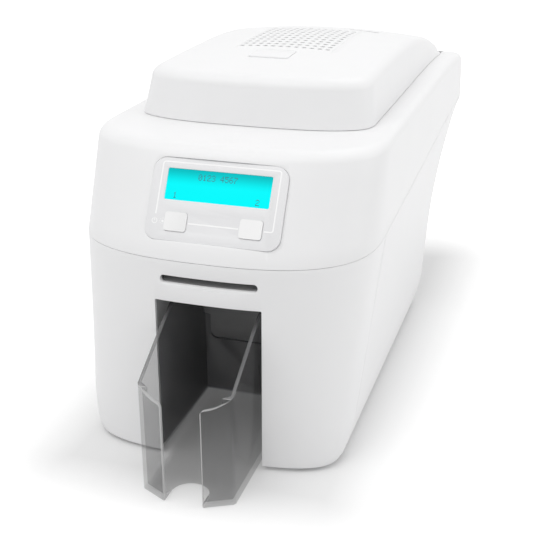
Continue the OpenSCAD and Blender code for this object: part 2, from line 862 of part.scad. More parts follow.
module interface_sockets() {
    color("silver") {
        translate([18, tail_y - 0.5, rear_z - 3]) rotate([90, 0, 0]) difference() {
            linear_extrude(16) square([12, 11], center = true);
            translate([0, 0, -1]) linear_extrude(12) square([9, 8.4], center = true);
        }
        translate([46, tail_y - 0.5, rear_z - 2]) rotate([90, 0, 0]) difference() {
            linear_extrude(18) square([16, 13], center = true);
            translate([0, 0, -1]) linear_extrude(13) square([12, 8], center = true);
        }
    }
    color("darkgreen") translate([8, tail_y - 30, rear_z - 10.1]) cube([50, 26, 1.6]);
    color("silver") for (x = [11, 50]) translate([x, tail_y - 26, 5.5]) cylinder(r = 2.4, h = rear_z - 15.5);
}

// ---------- hood ----------

hinge_x = 58;
module hinge_brackets() {
    color("silver") for (sx = [-1, 1]) translate([sx * hinge_x, 0, 0]) difference() {
        union() {
            for (x = [-9, 6]) along_x(x, x + 3) polygon([
                [382, 207.6], [412.6, 205.6], [412.6, 207.6], [416, 207.6], [hood_axis[0] + 4, hood_axis[1]],
                [hood_axis[0] + 2, 192], [hood_axis[0] - 6, 188], [382, 198]
            ]);
            for (x = [-9, 6]) bar_x(hood_axis, 4.2, x, x + 3);
            along_x(-9, 9) polygon([[382, 198], [398, 193.8], [398, 191.8], [382, 196]]);
        }
        bar_x(hood_axis, 2.5, -20, 20);
    }
}

module hinge_pins() {
    color("gray") for (sx = [-1, 1]) bar_x(hood_axis, 2.5, sx * hinge_x - 11, sx * hinge_x + 11);
}

// Height of the hood's shoulder along its length
function shoulder(y) = y < 230 ? 245.5 - 1.5 * pow((230 - y) / 140, 2)
    : 245.5 - 36.5 * (1 - sqrt(max(0, 1 - pow((y - 230) / 262, 2)))) / 0.3745;
function crown(y) = (hood_z - 245.5 + 0.4) * pow(max(0, sin(180 * (y - 98) / 336)), 0.6);
function hood_base(y) = deck_z + gap - deck_drop(y);

// Round of the hood's edge: rise and inset at each ring
function hood_level(k, t) = let (
        r = 9,
        a = 22.5 * (k - 1),
        inset = (k == 0 ? 0 : 3.2 + r * (1 - cos(a))) + t,
        pull = k == 0 ? 0 : 9 + r * (1 - cos(a)),
        rear = hood_rear - inset * 0.8
    ) [for (p = half_ring(hood_w - inset, hood_front + pull + t, 2.6, 30, rear, 26 - inset * 0.5, 9, 8))
    let (
        base = hood_base(p[1]) - (t > 0 ? 5 : 0),
        top = max(base + 2.2, shoulder(p[1]) - t),
        round_r = min(r, (top - base) * 0.7)
    ) [p[0], p[1], k == 0 ? base : top - round_r * (1 - sin(a))]];

// The crowned top: columns across each pair of edge points
module hood_form(t) {
    edge = hood_level(5, t);
    ring = [for (k = [0, 1, 3, 5]) hood_level(k, t)];
    inner = [for (f = [0.66, 0.22])
        [for (p = edge) [p[0] * f, p[1], p[2] + crown(p[1]) * (1 - f * f)]]];
    skin(concat(ring, inner));
}

// Staggered rows of short slots
module vent_slots() {
    for (row = [0:11], col = [0:8]) {
        translate([(col - 4) * 7.6 + (row % 2 == 0 ? 1.9 : -1.9), vent_from + row * 8]) {
            square([4.2, 2.2], center = true);
        }
    }
}

// Slotted insert that follows the crown of the hood
module vent_grille() {
    steps = 10;
    from = vent_from - 6;
    to = vent_to + 6;
    ys = [for (i = [0:steps]) from + (to - from) * i / steps];
    tops = [for (y = ys) [y, shoulder(y) + crown(y) - 0.4]];
    feet = [for (i = [0:steps]) [ys[steps - i], tops[steps - i][1] - 2.2]];
    color("white") difference() {
        along_x(-vent_w / 2, vent_w / 2) polygon(concat(feet, tops));
        translate([0, 0, 225]) linear_extrude(40) vent_slots();
    }
}

module lid_region(grow) {
    half = lid_w + grow;
    translate([-half, lid_front - grow, 190]) cube([2 * half, lid_axis_y - lid_front + grow, 90]);
}

lid_axis = [lid_axis_y, shoulder(lid_axis_y) - 3];

module top_cover() {
    color("white") difference() {
        hood_form(0);
        hood_form(wall);
        lid_region(0.4);
        bar_x(lid_axis, lid_barrel + 0.6, -lid_w - 0.4, lid_w + 0.4);
        translate([-lid_w - 0.4, lid_axis_y - 1, 200]) cube([2 * lid_w + 0.8, 6.6, 40]);
        translate([-vent_w / 2 - 0.1, vent_from - 6, 225]) {
            cube([vent_w + 0.2, vent_to - vent_from + 12, 40]);
        }
        translate([-2, button_y, 225]) linear_extrude(40) rounded_rect(30.6, 26.6, 3.3);
    }
    color("white") at_cover_posts() translate([0, 0, 232]) cylinder(r = 3.5, h = 12.9);
}

module feeder_lid() {
    color("white") {
        difference() {
            intersection() {
                difference() {
                    hood_form(0);
                    hood_form(wall);
                }
                lid_region(0);
            }
            translate([38, lid_front - 2, 252]) finger_recess();
        }
        bar_x(lid_axis, lid_barrel, -lid_w + 2, lid_w - 2);
    }
}

// Finger recess at the lid's front edge
module finger_recess() {
    rotate([0, 90, 0]) cylinder(r = 8, h = 22, center = true);
}

// Places the children where the hood's posts stand on its inner frame
module at_cover_posts() {
    for (x = [-60, 60], y = [214.5, 257.5]) translate([x, y, 0]) children();
}

// Inner frame of the hood: carries the hinge arms and all that hangs in the hood
module cover_frame() {
    color("gainsboro") difference() {
        union() {
            for (sx = [-1, 1]) {
                along_x(sx * 76 - 1.2, sx * 76 + 1.2) polygon([
                    [126, deck_z + 1], [330, deck_z + 1], [392, deck_z - 1], [392, deck_z + 4],
                    [300, 226], [230, 232], [126, 232]
                ]);
                along_x(sx * hinge_x - 5.5, sx * hinge_x + 5.5) polygon([
                    [386, 211], [hood_axis[0] - 7, 210], [hood_axis[0] - 2, 201.4],
                    [hood_axis[0] + 4, 204], [hood_axis[0] + 3, 209], [386, 215]
                ]);
                bar_x(hood_axis, 4.6, sx * hinge_x - 5.5, sx * hinge_x + 5.5);
                translate([sx > 0 ? hinge_x - 5.5 : -77.2, 386, 211]) cube([77.2 - hinge_x + 5.5, 5, 4.5]);
            }
            for (y = [126, 213, 256]) translate([-77.2, y, 226]) cube([154.4, 3, 6]);
            at_cover_posts() translate([0, 0, 226]) cylinder(r = 4, h = 6);
        }
        for (sx = [-1, 1]) bar_x(hood_axis, 2.5 + run_gap, sx * hinge_x - 12, sx * hinge_x + 12);
    }
}

module release_button() {
    color("white") {
        translate([-2, button_y, 244.4]) linear_extrude(4.8) rounded_rect(29.8, 25.8, 3);
        translate([-2, button_y, 241]) linear_extrude(3.6) rounded_rect(33, 29, 3);
        translate([-4, button_y - 1, 229.8]) cube([4, 4, 12]);
    }
}

// Rocking hook: the button's stem pushes its rear arm and swings the noses off the pins
module latch_hook() {
    color("silver") {
        for (sx = [-1, 1]) along_x(card_x + sx * 38 - 1.5, card_x + sx * 38 + 1.5) polygon([
            [latch_axis[0] + 4, latch_axis[1] + 4], [latch_axis[0] - 4, latch_axis[1] + 4],
            [latch_axis[0] - 4, latch_axis[1] - 4], [latch_axis[0] - 11, 206], [latch_axis[0] - 11, 186],
            [latch_axis[0] - 8, 183], [latch_axis[0] - 3.9, 184.6], [latch_axis[0] - 4.2, 187],
            [latch_axis[0] - 7, 189], [latch_axis[0] - 7, 204], [latch_axis[0] + 4, latch_axis[1] - 4]
        ]);
        bar_x(latch_axis, 3, card_x - 39.5, card_x + 39.5);
        translate([-8, latch_axis[0], latch_axis[1] - 1.5]) cube([12, 15, 3]);
    }
}

module latch_pins() {
    color("gray") for (sx = [-1, 1]) bar_x(latch_pin, 3.5, card_x + sx * 40 - 5, card_x + sx * 40 + 5);
}

module head_bracket() {
    color("silver") difference() {
        union() {
            for (sx = [-1, 1]) along_x(card_x + sx * 33 - 1, card_x + sx * 33 + 1) polygon([
                [158, 150], [184, 150], [184, 214], [213, 226], [213, 231], [176, 233.5],
                [147, 233.5], [147, 222], [158, 212]
            ]);
            translate([card_x - 33, 159, heat_top]) cube([66, 24, 2]);
            translate([card_x - 33, 207, 227]) cube([66, 6, 2]);
        }
        bar_x(latch_axis, 3 + run_gap, -60, 60);
    }
}

heat_top = 186;
module heat_sink() {
    color("gainsboro") difference() {
        translate([card_x - 29, 160, 141.4]) cube([58, 22, heat_top - 141.4]);
        for (i = [0:4]) translate([card_x - 40, 162.6 + i * 3.7, 148]) cube([80, 2, 34]);
    }
}

module printhead() {
    color("ivory") translate([card_x - 28, 161, 135.8]) cube([56, 18, 5.6]);
    color("#222222") bar_x([170, 135.8], 2.2, card_x - 27, card_x + 27);
}

fan_at = [card_x - 4.5, 236];
module fan_frame() {
    color("#222222") translate([fan_at[0], fan_at[1], 229]) difference() {
        linear_extrude(10) difference() {
            rounded_rect(40, 40, 3);
            circle(r = 18.8);
        }
        for (sx = [-1, 1], sy = [-1, 1]) translate([sx * 16, sy * 16, -1]) cylinder(r = 1.7, h = 12);
    }
    color("#222222") translate([fan_at[0], fan_at[1], 229]) {
        for (a = [45:90:315]) rotate(a) translate([8, -1, 0]) cube([12, 2, 1.4]);
        cylinder(r = 9.5, h = 1.4);
        cylinder(r = 1.5, h = 5);
    }
}

module fan_rotor() {
    color("#333333") translate([fan_at[0], fan_at[1], 231]) difference() {
        union() {
            cylinder(r = 10, h = 7);
            for (a = [0:45:315]) rotate(a) translate([8, 0, 3.2]) rotate([32, 0, 0]) {
                translate([0, -3.2, -0.6]) cube([9.6, 6.4, 1.2]);
            }
        }
        translate([0, 0, -1]) cylinder(r = 1.5 + run_gap, h = 5);
    }
}

// ---------- output hopper ----------

lip_gap = 26;
lip_back = 9;

// Plan of the hopper's upright walls, centred on the card path
module hopper_plan() {
    w = hopper_w / 2;
    f = -hopper_reach;
    t = hopper_wall;
    for (sx = [-1, 1]) on_side(sx) {
        polygon([
            [w - t, 82], [w, 82], [w, f + lip_back + 1.6], [w - 1, f + lip_back],
            [lip_gap / 2 + 0.8, f], [lip_gap / 2, f + 0.6], [lip_gap / 2, f + t + 0.2],
            [w - t, f + lip_back + t]
        ]);
    }
    translate([-w + t, 79.6]) square([2 * (w - t), t]);
}

module on_side(sx) {
    mirror([sx < 0 ? 1 : 0, 0]) children();
}

module output_hopper() {
    w = hopper_w / 2;
    color("dimgray", 0.5) translate([card_x + 0.6, 0, 0]) {
        intersection() {
            translate([0, 0, 0.6]) linear_extrude(120) hopper_plan();
            along_x(-60, 60) polygon([
                [-60, 0], [84, 0], [84, 70], [70, 78], [60, 108], [14, 110],
                [0, 103], [-hopper_reach + lip_back, 77.5], [-60, 64]
            ]);
        }
        translate([0, 0, 0.6]) linear_extrude(2.4) difference() {
            translate([-w + 1, -hopper_reach + 0.4]) square([hopper_w - 2, 82 + hopper_reach - 1]);
            translate([0, -hopper_reach + 11]) circle(r = lip_gap / 2);
            translate([-lip_gap / 2, -hopper_reach - 12]) square([lip_gap, 23]);
            for (sx = [-1, 1]) on_side(sx) {
                polygon([[lip_gap / 2 + 0.8, -hopper_reach], [w + 1, -hopper_reach - 0.1],
                    [w + 1, -hopper_reach + lip_back + 1.6], [w - 1, -hopper_reach + lip_back]]);
            }
        }
    }
}

module frame_screws() {
    color("silver") at_frame_screws() {
        cylinder(r = 2.6, h = 1.6);
        translate([0, 0, -5]) cylinder(r = 1.4, h = 5.2);
    }
}

// ---------- output ----------

placed() base_tray();
placed() rubber_feet();
placed() lower_housing();
placed() front_fascia();
placed() upper_housing();
placed() hopper_bay();
placed() card_slot_guide();
placed() output_hopper();
placed() control_panel();
placed() display_window();
placed() display_module();
placed() left_key();
placed() right_key();
placed() key_board();
placed() side_frame_left();
placed() side_frame_right();
placed() tie_bars();
placed() shaft_bushes();
placed() platen_roller();
placed() platen_gear();
placed() entry_roller();
placed() cleaning_roller();
placed() exit_roller();
placed() pinch_roller();
placed() pick_roller();
placed() drive_belts();
placed() drive_motor();
placed() motor_pinion();
placed() card_guides();
placed() exit_chute();
placed() supply_core();
placed() supply_film();
placed() takeup_core();
placed() takeup_film();
placed() takeup_gear();
placed() ribbon_motor();
placed() ribbon_pinion();
placed() card_tray();
placed() card_stack();
placed() card_weight();
placed() main_board();
placed() power_supply();
placed() power_inlet();
placed() power_rocker();
placed() interface_sockets();
placed() hinge_brackets();
placed() hinge_pins();
placed() top_cover();
placed() vent_grille();
placed() cover_frame();
placed() release_button();
placed() latch_hook();
placed() latch_pins();
placed() head_bracket();
placed() printhead();
placed() heat_sink();
placed() fan_frame();
placed() fan_rotor();
placed() feeder_lid();
placed() frame_screws();
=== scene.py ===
import json
import math

import bmesh
import bpy
from mathutils import Matrix, Vector


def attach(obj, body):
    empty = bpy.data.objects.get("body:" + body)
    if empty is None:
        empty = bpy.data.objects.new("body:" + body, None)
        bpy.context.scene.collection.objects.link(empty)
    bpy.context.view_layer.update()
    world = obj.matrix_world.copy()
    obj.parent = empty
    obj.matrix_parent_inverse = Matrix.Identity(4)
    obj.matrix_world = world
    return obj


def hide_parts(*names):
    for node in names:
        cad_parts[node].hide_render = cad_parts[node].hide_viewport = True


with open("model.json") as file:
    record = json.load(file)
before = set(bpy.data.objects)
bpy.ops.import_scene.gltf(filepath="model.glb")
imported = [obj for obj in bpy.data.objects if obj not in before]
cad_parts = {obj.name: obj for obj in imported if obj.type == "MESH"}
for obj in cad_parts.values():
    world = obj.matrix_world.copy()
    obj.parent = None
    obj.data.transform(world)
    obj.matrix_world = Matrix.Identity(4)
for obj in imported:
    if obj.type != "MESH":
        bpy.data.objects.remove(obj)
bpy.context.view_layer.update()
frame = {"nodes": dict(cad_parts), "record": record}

scene = bpy.context.scene
nodes = frame["nodes"]
mm = 0.001
originY = 200  # the front face at the parting line is this far ahead of the origin, in mm


cameraSetup = {
    "place": (0.226158, -0.760245, 0.392559),
    "yaw": 17.257,
    "pitch": 22.978,
    "roll": -0.087,
    "lens": 66.81,
}


def addCamera(setup):
    data = bpy.data.cameras.new("camera")
    data.sensor_width = 36
    data.lens = setup["lens"]
    data.clip_start = 0.01
    camera = bpy.data.objects.new("camera", data)
    turn = Matrix.Rotation(math.radians(setup["yaw"]), 3, "Z")
    tip = Matrix.Rotation(math.radians(90 - setup["pitch"]), 3, "X")
    twist = Matrix.Rotation(math.radians(setup["roll"]), 3, "Z")
    camera.matrix_world = Matrix.Translation(setup["place"]) @ (turn @ tip @ twist).to_4x4()
    scene.collection.objects.link(camera)
    scene.camera = camera


addCamera(cameraSetup)
scene.view_settings.view_transform = "Standard"
print("camera placed")


studio = {
    "worldLight": 0.7,
    "lampAim": (0, 0, 0.1),
    "lamps": {  # place, size and power of each
        "keyLamp": ((-0.6, -1.0, 2.0), 1.6, 15.0),
        "fillLamp": ((2.0, 0.3, 0.9), 1.4, 9.0),
        "topLamp": ((0.2, 0.9, 2.2), 1.4, 6.0),
    },
    "floorShade": 0.74,
    # painted light on the floor: a glow seen by camera, glossy and transmission rays, least near the part and
    # most far off, paints the shadow's falloff
    "glowNear": 0.1,
    "glowFar": 0.56,
    "glowHalf": (0.09, 0.22, 0),
    "glowTo": 0.09,
    "floorReach": 6.0,
}


def addLamp(name, place, aim, size, power):
    data = bpy.data.lights.new(name, "AREA")
    data.size = size
    data.energy = power
    lamp = bpy.data.objects.new(name, data)
    lamp.location = place
    lamp.rotation_euler = (Vector(aim) - Vector(place)).to_track_quat("-Z", "Y").to_euler()
    scene.collection.objects.link(lamp)


def seenRays(tree):
    rays = tree.nodes.new("ShaderNodeLightPath")
    total = rays.outputs["Is Camera Ray"]
    for kind in ("Is Glossy Ray", "Is Transmission Ray"):
        most = tree.nodes.new("ShaderNodeMath")
        most.operation = "MAXIMUM"
        tree.links.new(total, most.inputs[0])
        tree.links.new(rays.outputs[kind], most.inputs[1])
        total = most.outputs[0]
    return total


def addWorld(setup):
    world = bpy.data.worlds.new("studio")
    world.use_nodes = True
    scene.world = world
    tree = world.node_tree
    tree.nodes.clear()
    out = tree.nodes.new("ShaderNodeOutputWorld")
    soft = tree.nodes.new("ShaderNodeBackground")
    soft.inputs["Color"].default_value = (1, 1, 1, 1)
    soft.inputs["Strength"].default_value = setup["worldLight"]
    shown = tree.nodes.new("ShaderNodeBackground")
    shown.inputs["Color"].default_value = (1, 1, 1, 1)
    mix = tree.nodes.new("ShaderNodeMixShader")
    tree.links.new(seenRays(tree), mix.inputs[0])
    tree.links.new(soft.outputs[0], mix.inputs[1])
    tree.links.new(shown.outputs[0], mix.inputs[2])
    tree.links.new(mix.outputs[0], out.inputs["Surface"])


def addFloor(setup):
    reach = setup["floorReach"]
    corners = [(-reach, -reach, 0), (reach, -reach, 0), (reach, reach, 0), (-reach, reach, 0)]
    mesh = bpy.data.meshes.new("floor")
    mesh.from_pydata(corners, [], [(0, 1, 2, 3)])
    floor = bpy.data.objects.new("floor", mesh)
    scene.collection.objects.link(floor)
    material = bpy.data.materials.new("floorPaper")
    material.use_nodes = True
    tree = material.node_tree
    tree.nodes.clear()
    out = tree.nodes.new("ShaderNodeOutputMaterial")
    paper = tree.nodes.new("ShaderNodeBsdfDiffuse")
    paper.inputs["Color"].default_value = (*[setup["floorShade"]] * 3, 1)
    glow = tree.nodes.new("ShaderNodeEmission")
    place = tree.nodes.new("ShaderNodeTexCoord")
    away = place.outputs["Object"]
    steps = (("ABSOLUTE", None), ("SUBTRACT", setup["glowHalf"]), ("MAXIMUM", (0, 0, 0)), ("LENGTH", None))
    for step, by in steps:
        node = tree.nodes.new("ShaderNodeVectorMath")
        node.operation = step
        if by:
            node.inputs[1].default_value = by
        tree.links.new(away, node.inputs[0])
        away = node.outputs["Value" if step == "LENGTH" else "Vector"]
    spread = tree.nodes.new("ShaderNodeMapRange")  # painted light: the paper glows more, the further it lies from the part, which leaves a painted shadow falloff around the part
    for socket, key in (("From Max", "glowTo"), ("To Min", "glowNear"), ("To Max", "glowFar")):
        spread.inputs[socket].default_value = setup[key]
    lift = tree.nodes.new("ShaderNodeMath")
    lift.operation = "MULTIPLY"
    tree.links.new(away, spread.inputs["Value"])
    tree.links.new(seenRays(tree), lift.inputs[0])
    tree.links.new(spread.outputs["Result"], lift.inputs[1])
    tree.links.new(lift.outputs[0], glow.inputs["Strength"])
    add = tree.nodes.new("ShaderNodeAddShader")
    tree.links.new(paper.outputs[0], add.inputs[0])
    tree.links.new(glow.outputs[0], add.inputs[1])
    tree.links.new(add.outputs[0], out.inputs["Surface"])
    mesh.materials.append(material)


addWorld(studio)
addFloor(studio)
for name, (place, size, power) in studio["lamps"].items():
    addLamp(name, place, studio["lampAim"], size, power)
print("studio set")


def shaderOf(material):
    return material.node_tree.nodes["Principled BSDF"]


grainLook = {
    "detail": 3,
    "strength": 0.6,
    "patchScale": 0.02,
    "paler": 0.5,
}


def addGrain(material, scale, depth, speckle, base):
    tree = material.node_tree
    shader = shaderOf(material)
    place = tree.nodes.new("ShaderNodeTexCoord")
    noise = tree.nodes.new("ShaderNodeTexNoise")
    noise.inputs["Scale"].default_value = scale
    noise.inputs["Detail"].default_value = grainLook["detail"]
    tree.links.new(place.outputs["Object"], noise.inputs["Vector"])
    bump = tree.nodes.new("ShaderNodeBump")
    bump.inputs["Distance"].default_value = depth
    bump.inputs["Strength"].default_value = grainLook["strength"]
    tree.links.new(noise.outputs["Fac"], bump.inputs["Height"])
    tree.links.new(bump.outputs["Normal"], shader.inputs["Normal"])
    if speckle:
        wide = tree.nodes.new("ShaderNodeTexNoise")
        wide.inputs["Scale"].default_value = scale * grainLook["patchScale"]
        tree.links.new(place.outputs["Object"], wide.inputs["Vector"])
        tint = tree.nodes.new("ShaderNodeMix")
        tint.data_type = "RGBA"
        low = [c * (1 - speckle) for c in base]
        high = [min(1, c * (1 + speckle * grainLook["paler"])) for c in base]
        tint.inputs["A"].default_value = (*low, 1)
        tint.inputs["B"].default_value = (*high, 1)
        tree.links.new(wide.outputs["Fac"], tint.inputs["Factor"])
        tree.links.new(tint.outputs["Result"], shader.inputs["Base Color"])


def makeFinish(name, colour, rough, metal=0.0, grain=0, depth=0.0, speckle=0.0, solid=1.0, glow=None,
               shine=0.5):
    material = bpy.data.materials.new(name)
    material.use_nodes = True
    shader = shaderOf(material)
    shader.inputs["Base Color"].default_value = (*colour, 1)
    shader.inputs["Roughness"].default_value = rough
    shader.inputs["Metallic"].default_value = metal
    shader.inputs["Alpha"].default_value = solid
    shader.inputs["Specular IOR Level"].default_value = shine
    if glow:
        shader.inputs["Emission Color"].default_value = (*glow, 1)
        shader.inputs["Emission Strength"].default_value = 1
    if grain:
        addGrain(material, grain, depth, speckle, colour)
    return material


finishTable = {
    "white_shell": dict(colour=(0.85, 0.85, 0.855), rough=0.42, grain=2600, depth=0.00002, speckle=0.012),
    "grey_panel": dict(colour=(0.8, 0.8, 0.81), rough=0.4, grain=2600, depth=0.00001, speckle=0.02),
    "key_cap": dict(colour=(0.9, 0.9, 0.9), rough=0.4, grain=2600, depth=0.00001, speckle=0.01),
    "display": dict(colour=(0.0, 0.05, 0.06), rough=0.5,
                    grain=900, depth=0.000002, glow=(0.0, 0.91, 0.93), shine=0.05),
    "smoked_clear": dict(colour=(0.03, 0.03, 0.032), rough=0.06,
                         grain=300, depth=0.000002, solid=0.2, shine=1.0),
    "dark_liner": dict(colour=(0.035, 0.035, 0.037), rough=0.5, grain=2200, depth=0.00002, speckle=0.1),
    "grey_liner": dict(colour=(0.3, 0.3, 0.305), rough=0.5, grain=2200, depth=0.00002, speckle=0.1),
    "dark_plastic": dict(colour=(0.025, 0.025, 0.026), rough=0.45, grain=2200, depth=0.00002, speckle=0.1),
    "steel_sheet": dict(colour=(0.6, 0.61, 0.63), rough=0.34, metal=1.0,
                        grain=700, depth=0.00001, speckle=0.06),
    "bright_shaft": dict(colour=(0.72, 0.72, 0.74), rough=0.22, metal=1.0,
                         grain=1400, depth=0.000004, speckle=0.05),
    "rubber_foot": dict(colour=(0.03, 0.03, 0.03), rough=0.85, grain=1600, depth=0.00004, speckle=0.15),
    "roller_rubber": dict(colour=(0.05, 0.05, 0.052), rough=0.7, grain=1800, depth=0.00003, speckle=0.15),
    "belt_rubber": dict(colour=(0.03, 0.03, 0.03), rough=0.8, grain=1500, depth=0.00003, speckle=0.15),
    "cleaning_sleeve": dict(colour=(0.06, 0.25, 0.6), rough=0.5, grain=1500, depth=0.00002, speckle=0.08),
    "bronze_bush": dict(colour=(0.5, 0.34, 0.16), rough=0.4, metal=1.0,
                        grain=1200, depth=0.00001, speckle=0.1),
    "pinion_brass": dict(colour=(0.74, 0.56, 0.24), rough=0.3, metal=1.0,
                         grain=900, depth=0.00001, speckle=0.08),
    "gear_plastic": dict(colour=(0.78, 0.76, 0.69), rough=0.4, grain=1500, depth=0.00001, speckle=0.03),
    "motor_can": dict(colour=(0.05, 0.05, 0.055), rough=0.35, grain=900, depth=0.00001, speckle=0.1),
    "spool_plastic": dict(colour=(0.6, 0.61, 0.63), rough=0.4, grain=1500, depth=0.00001, speckle=0.04),
    "dye_film": dict(colour=(0.2, 0.06, 0.17), rough=0.25, grain=300, depth=0.00001, speckle=0.3),
    "used_film": dict(colour=(0.14, 0.08, 0.05), rough=0.3, grain=300, depth=0.00001, speckle=0.3),
    "white_card": dict(colour=(0.82, 0.82, 0.82), rough=0.25, grain=600, depth=0.000004, speckle=0.02),
    "circuit_board": dict(colour=(0.03, 0.17, 0.07), rough=0.4, grain=500, depth=0.00003, speckle=0.25),
    "ceramic_head": dict(colour=(0.72, 0.68, 0.57), rough=0.35, grain=1200, depth=0.00001, speckle=0.06),
    "bare_aluminium": dict(colour=(0.75, 0.76, 0.78), rough=0.3, metal=1.0,
                           grain=900, depth=0.00001, speckle=0.04),
}
finishes = {name: makeFinish(name, **entry) for name, entry in finishTable.items()}


def shadeDisplay(material, low, high, least):
    tree = material.node_tree
    place = tree.nodes.new("ShaderNodeTexCoord")
    parts = tree.nodes.new("ShaderNodeSeparateXYZ")
    ramp = tree.nodes.new("ShaderNodeMapRange")  # the bezel shades the upper edge of the display
    ramp.interpolation_type = "SMOOTHSTEP"
    for socket, value in (("From Min", low), ("From Max", high), ("To Min", 1), ("To Max", least)):
        ramp.inputs[socket].default_value = value
    tree.links.new(place.outputs["Object"], parts.inputs[0])
    tree.links.new(parts.outputs["Z"], ramp.inputs["Value"])
    tree.links.new(ramp.outputs["Result"], shaderOf(material).inputs["Emission Strength"])


displayShade = {"low": 0.188, "high": 0.1985, "least": 0.5}  # heights in metres
paintedEdgeLook = {"rough": 0.2, "grain": 300, "depth": 0.000002, "solid": 0.75}
shadeDisplay(finishes["display"], **displayShade)
# painted shade and highlight for the hopper's rims: the dark grey is painted shade for the smoked walls seen
# edge-on, the light grey is a painted highlight on the lip edges
finishes["painted_edge_shade"] = makeFinish("painted_edge_shade", (0.14, 0.14, 0.143), **paintedEdgeLook)
finishes["bright_rim"] = makeFinish("bright_rim", (0.55, 0.55, 0.55), **paintedEdgeLook)
slotOf = {s["node"]: s["material_slot"] for s in frame["record"]["subparts"]}
bodyOf = {n: body for body, members in frame["record"]["behaviour"]["bodies"].items() for n in members}
for name, node in nodes.items():
    node.data.materials.clear()
    node.data.materials.append(finishes[slotOf[name]])
print("finishes made:", len(finishes))


def newObject(name, mesh):
    piece = bpy.data.objects.new(name, mesh)
    scene.collection.objects.link(piece)
    return piece


def meshFrom(name, points, faces):
    mesh = bpy.data.meshes.new(name)
    mesh.from_pydata([(x * mm, (y - originY) * mm, z * mm) for x, y, z in points], [], faces)
    mesh.validate()
    return newObject(name, mesh)


def prism(name, outline, place):
    count = len(outline)
    points = [place(a, b, end) for end in (0, 1) for a, b in outline]
    sides = [(i, (i + 1) % count, count + (i + 1) % count, count + i) for i in range(count)]
    caps = [tuple(reversed(range(count))), tuple(range(count, 2 * count))]
    piece = meshFrom(name, points, sides + caps)
    fixNormals(piece)
    return piece


def fixNormals(piece):
    work = bmesh.new()
    work.from_mesh(piece.data)
    bmesh.ops.recalc_face_normals(work, faces=work.faces)
    work.to_mesh(piece.data)
    work.free()


def alongX(name, outline, x1, x2):
    return prism(name, outline, lambda y, z, end: (x2 if end else x1, y, z))


def alongY(name, outline, y1, y2):
    return prism(name, outline, lambda x, z, end: (x, y2 if end else y1, z))


def alongZ(name, outline, z1, z2):
    return prism(name, outline, lambda x, y, end: (x, y, z2 if end else z1))


def block(name, low, high):
    (x1, y1, z1), (x2, y2, z2) = low, high
    return alongZ(name, [(x1, y1), (x2, y1), (x2, y2), (x1, y2)], z1, z2)


def loft(name, rings):
    count = len(rings[0])
    points = [point for ring in rings for point in ring]
    faces = [tuple(reversed(range(count))), tuple(range(len(points) - count, len(points)))]
    for k in range(0, len(points) - count, count):
        faces += [(k + i, k + (i + 1) % count, k + count + (i + 1) % count, k + count + i) for i in range(count)]
    piece = meshFrom(name, points, faces)
    fixNormals(piece)
    return piece


def roundedRect(cx, cy, width, height, radius, steps=8):
    points = []
    for k, (sx, sy) in enumerate(((1, 1), (-1, 1), (-1, -1), (1, -1))):
        for i in range(steps + 1):
            a = math.radians(90 * k + 90 * i / steps)
            points.append((cx + sx * (width / 2 - radius) + radius * math.cos(a),
                           cy + sy * (height / 2 - radius) + radius * math.sin(a)))
    return points


def settle(piece):
    view = bpy.context.evaluated_depsgraph_get()
    mesh = bpy.data.meshes.new_from_object(piece.evaluated_get(view))
    piece.modifiers.clear()
    piece.data = mesh
    return piece


def cut(piece, cutters, mode="DIFFERENCE"):
    for cutter in cutters:
        change = piece.modifiers.new("cut", "BOOLEAN")
        change.operation = mode
        change.solver = "EXACT"
        change.object = cutter
        settle(piece)
        bpy.data.objects.remove(cutter)
    return piece


def soften(piece, width=0.5, angle=40, segments=2):
    change = piece.modifiers.new("soften", "BEVEL")
    change.width = width * mm
    change.segments = segments
    change.limit_method = "ANGLE"
    change.angle_limit = math.radians(angle)
    change.use_clamp_overlap = True
    settle(piece)
    return piece


def smooth(piece, angle=35):
    for face in piece.data.polygons:
        face.use_smooth = True
    piece.data.set_sharp_from_angle(angle=math.radians(angle))
    return piece


def dress(piece, node, finish=None):
    piece.data.materials.clear()
    piece.data.materials.append(finishes[finish or slotOf[node]])
    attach(piece, bodyOf[node])
    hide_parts(node)
    return piece


bodyForm = {
    "halfWidth": 103.0,
    "length": 452.0,
    "wall": 2.5,
    "seamZ": 146.0,
    "seamRise": 0.059,
    "deckZ": 212.0,
    "gap": 0.4,
    "bow": 7.6,
    "cornerPower": 3.1,
    "rearRound": 14,
    "faceSlope": 0.58,
    "footZ": 3,
    "footTop": 32,
    "sideDraft": 7.5,
    "creaseFoot": 34,
    "creaseSlope": 0.355,
    "tailY": 305,
    "tailFoot": 78,
    "tailRise": 86,
    "frontSteps": 40,
    "sideSteps": 30,
    "cornerSteps": 8,
}
halfWidth = bodyForm["halfWidth"]
bodyLength = bodyForm["length"]
seamZ = bodyForm["seamZ"]
deckZ = bodyForm["deckZ"]
cardX = 4.5
pathZ = 133.0


def creaseY(z):
    return bodyForm["creaseFoot"] + bodyForm["creaseSlope"] * (z - bodyForm["footZ"])


creaseTop = creaseY(seamZ)


def seamAt(y):
    return seamZ + bodyForm["seamRise"] * max(0, y - creaseTop)


def frontBow(x, width, bow, corner):
    t = min(1, x / width)
    power = bodyForm["cornerPower"]
    return bow * t * t + corner * (1 - max(0, 1 - t ** power) ** (1 / power))


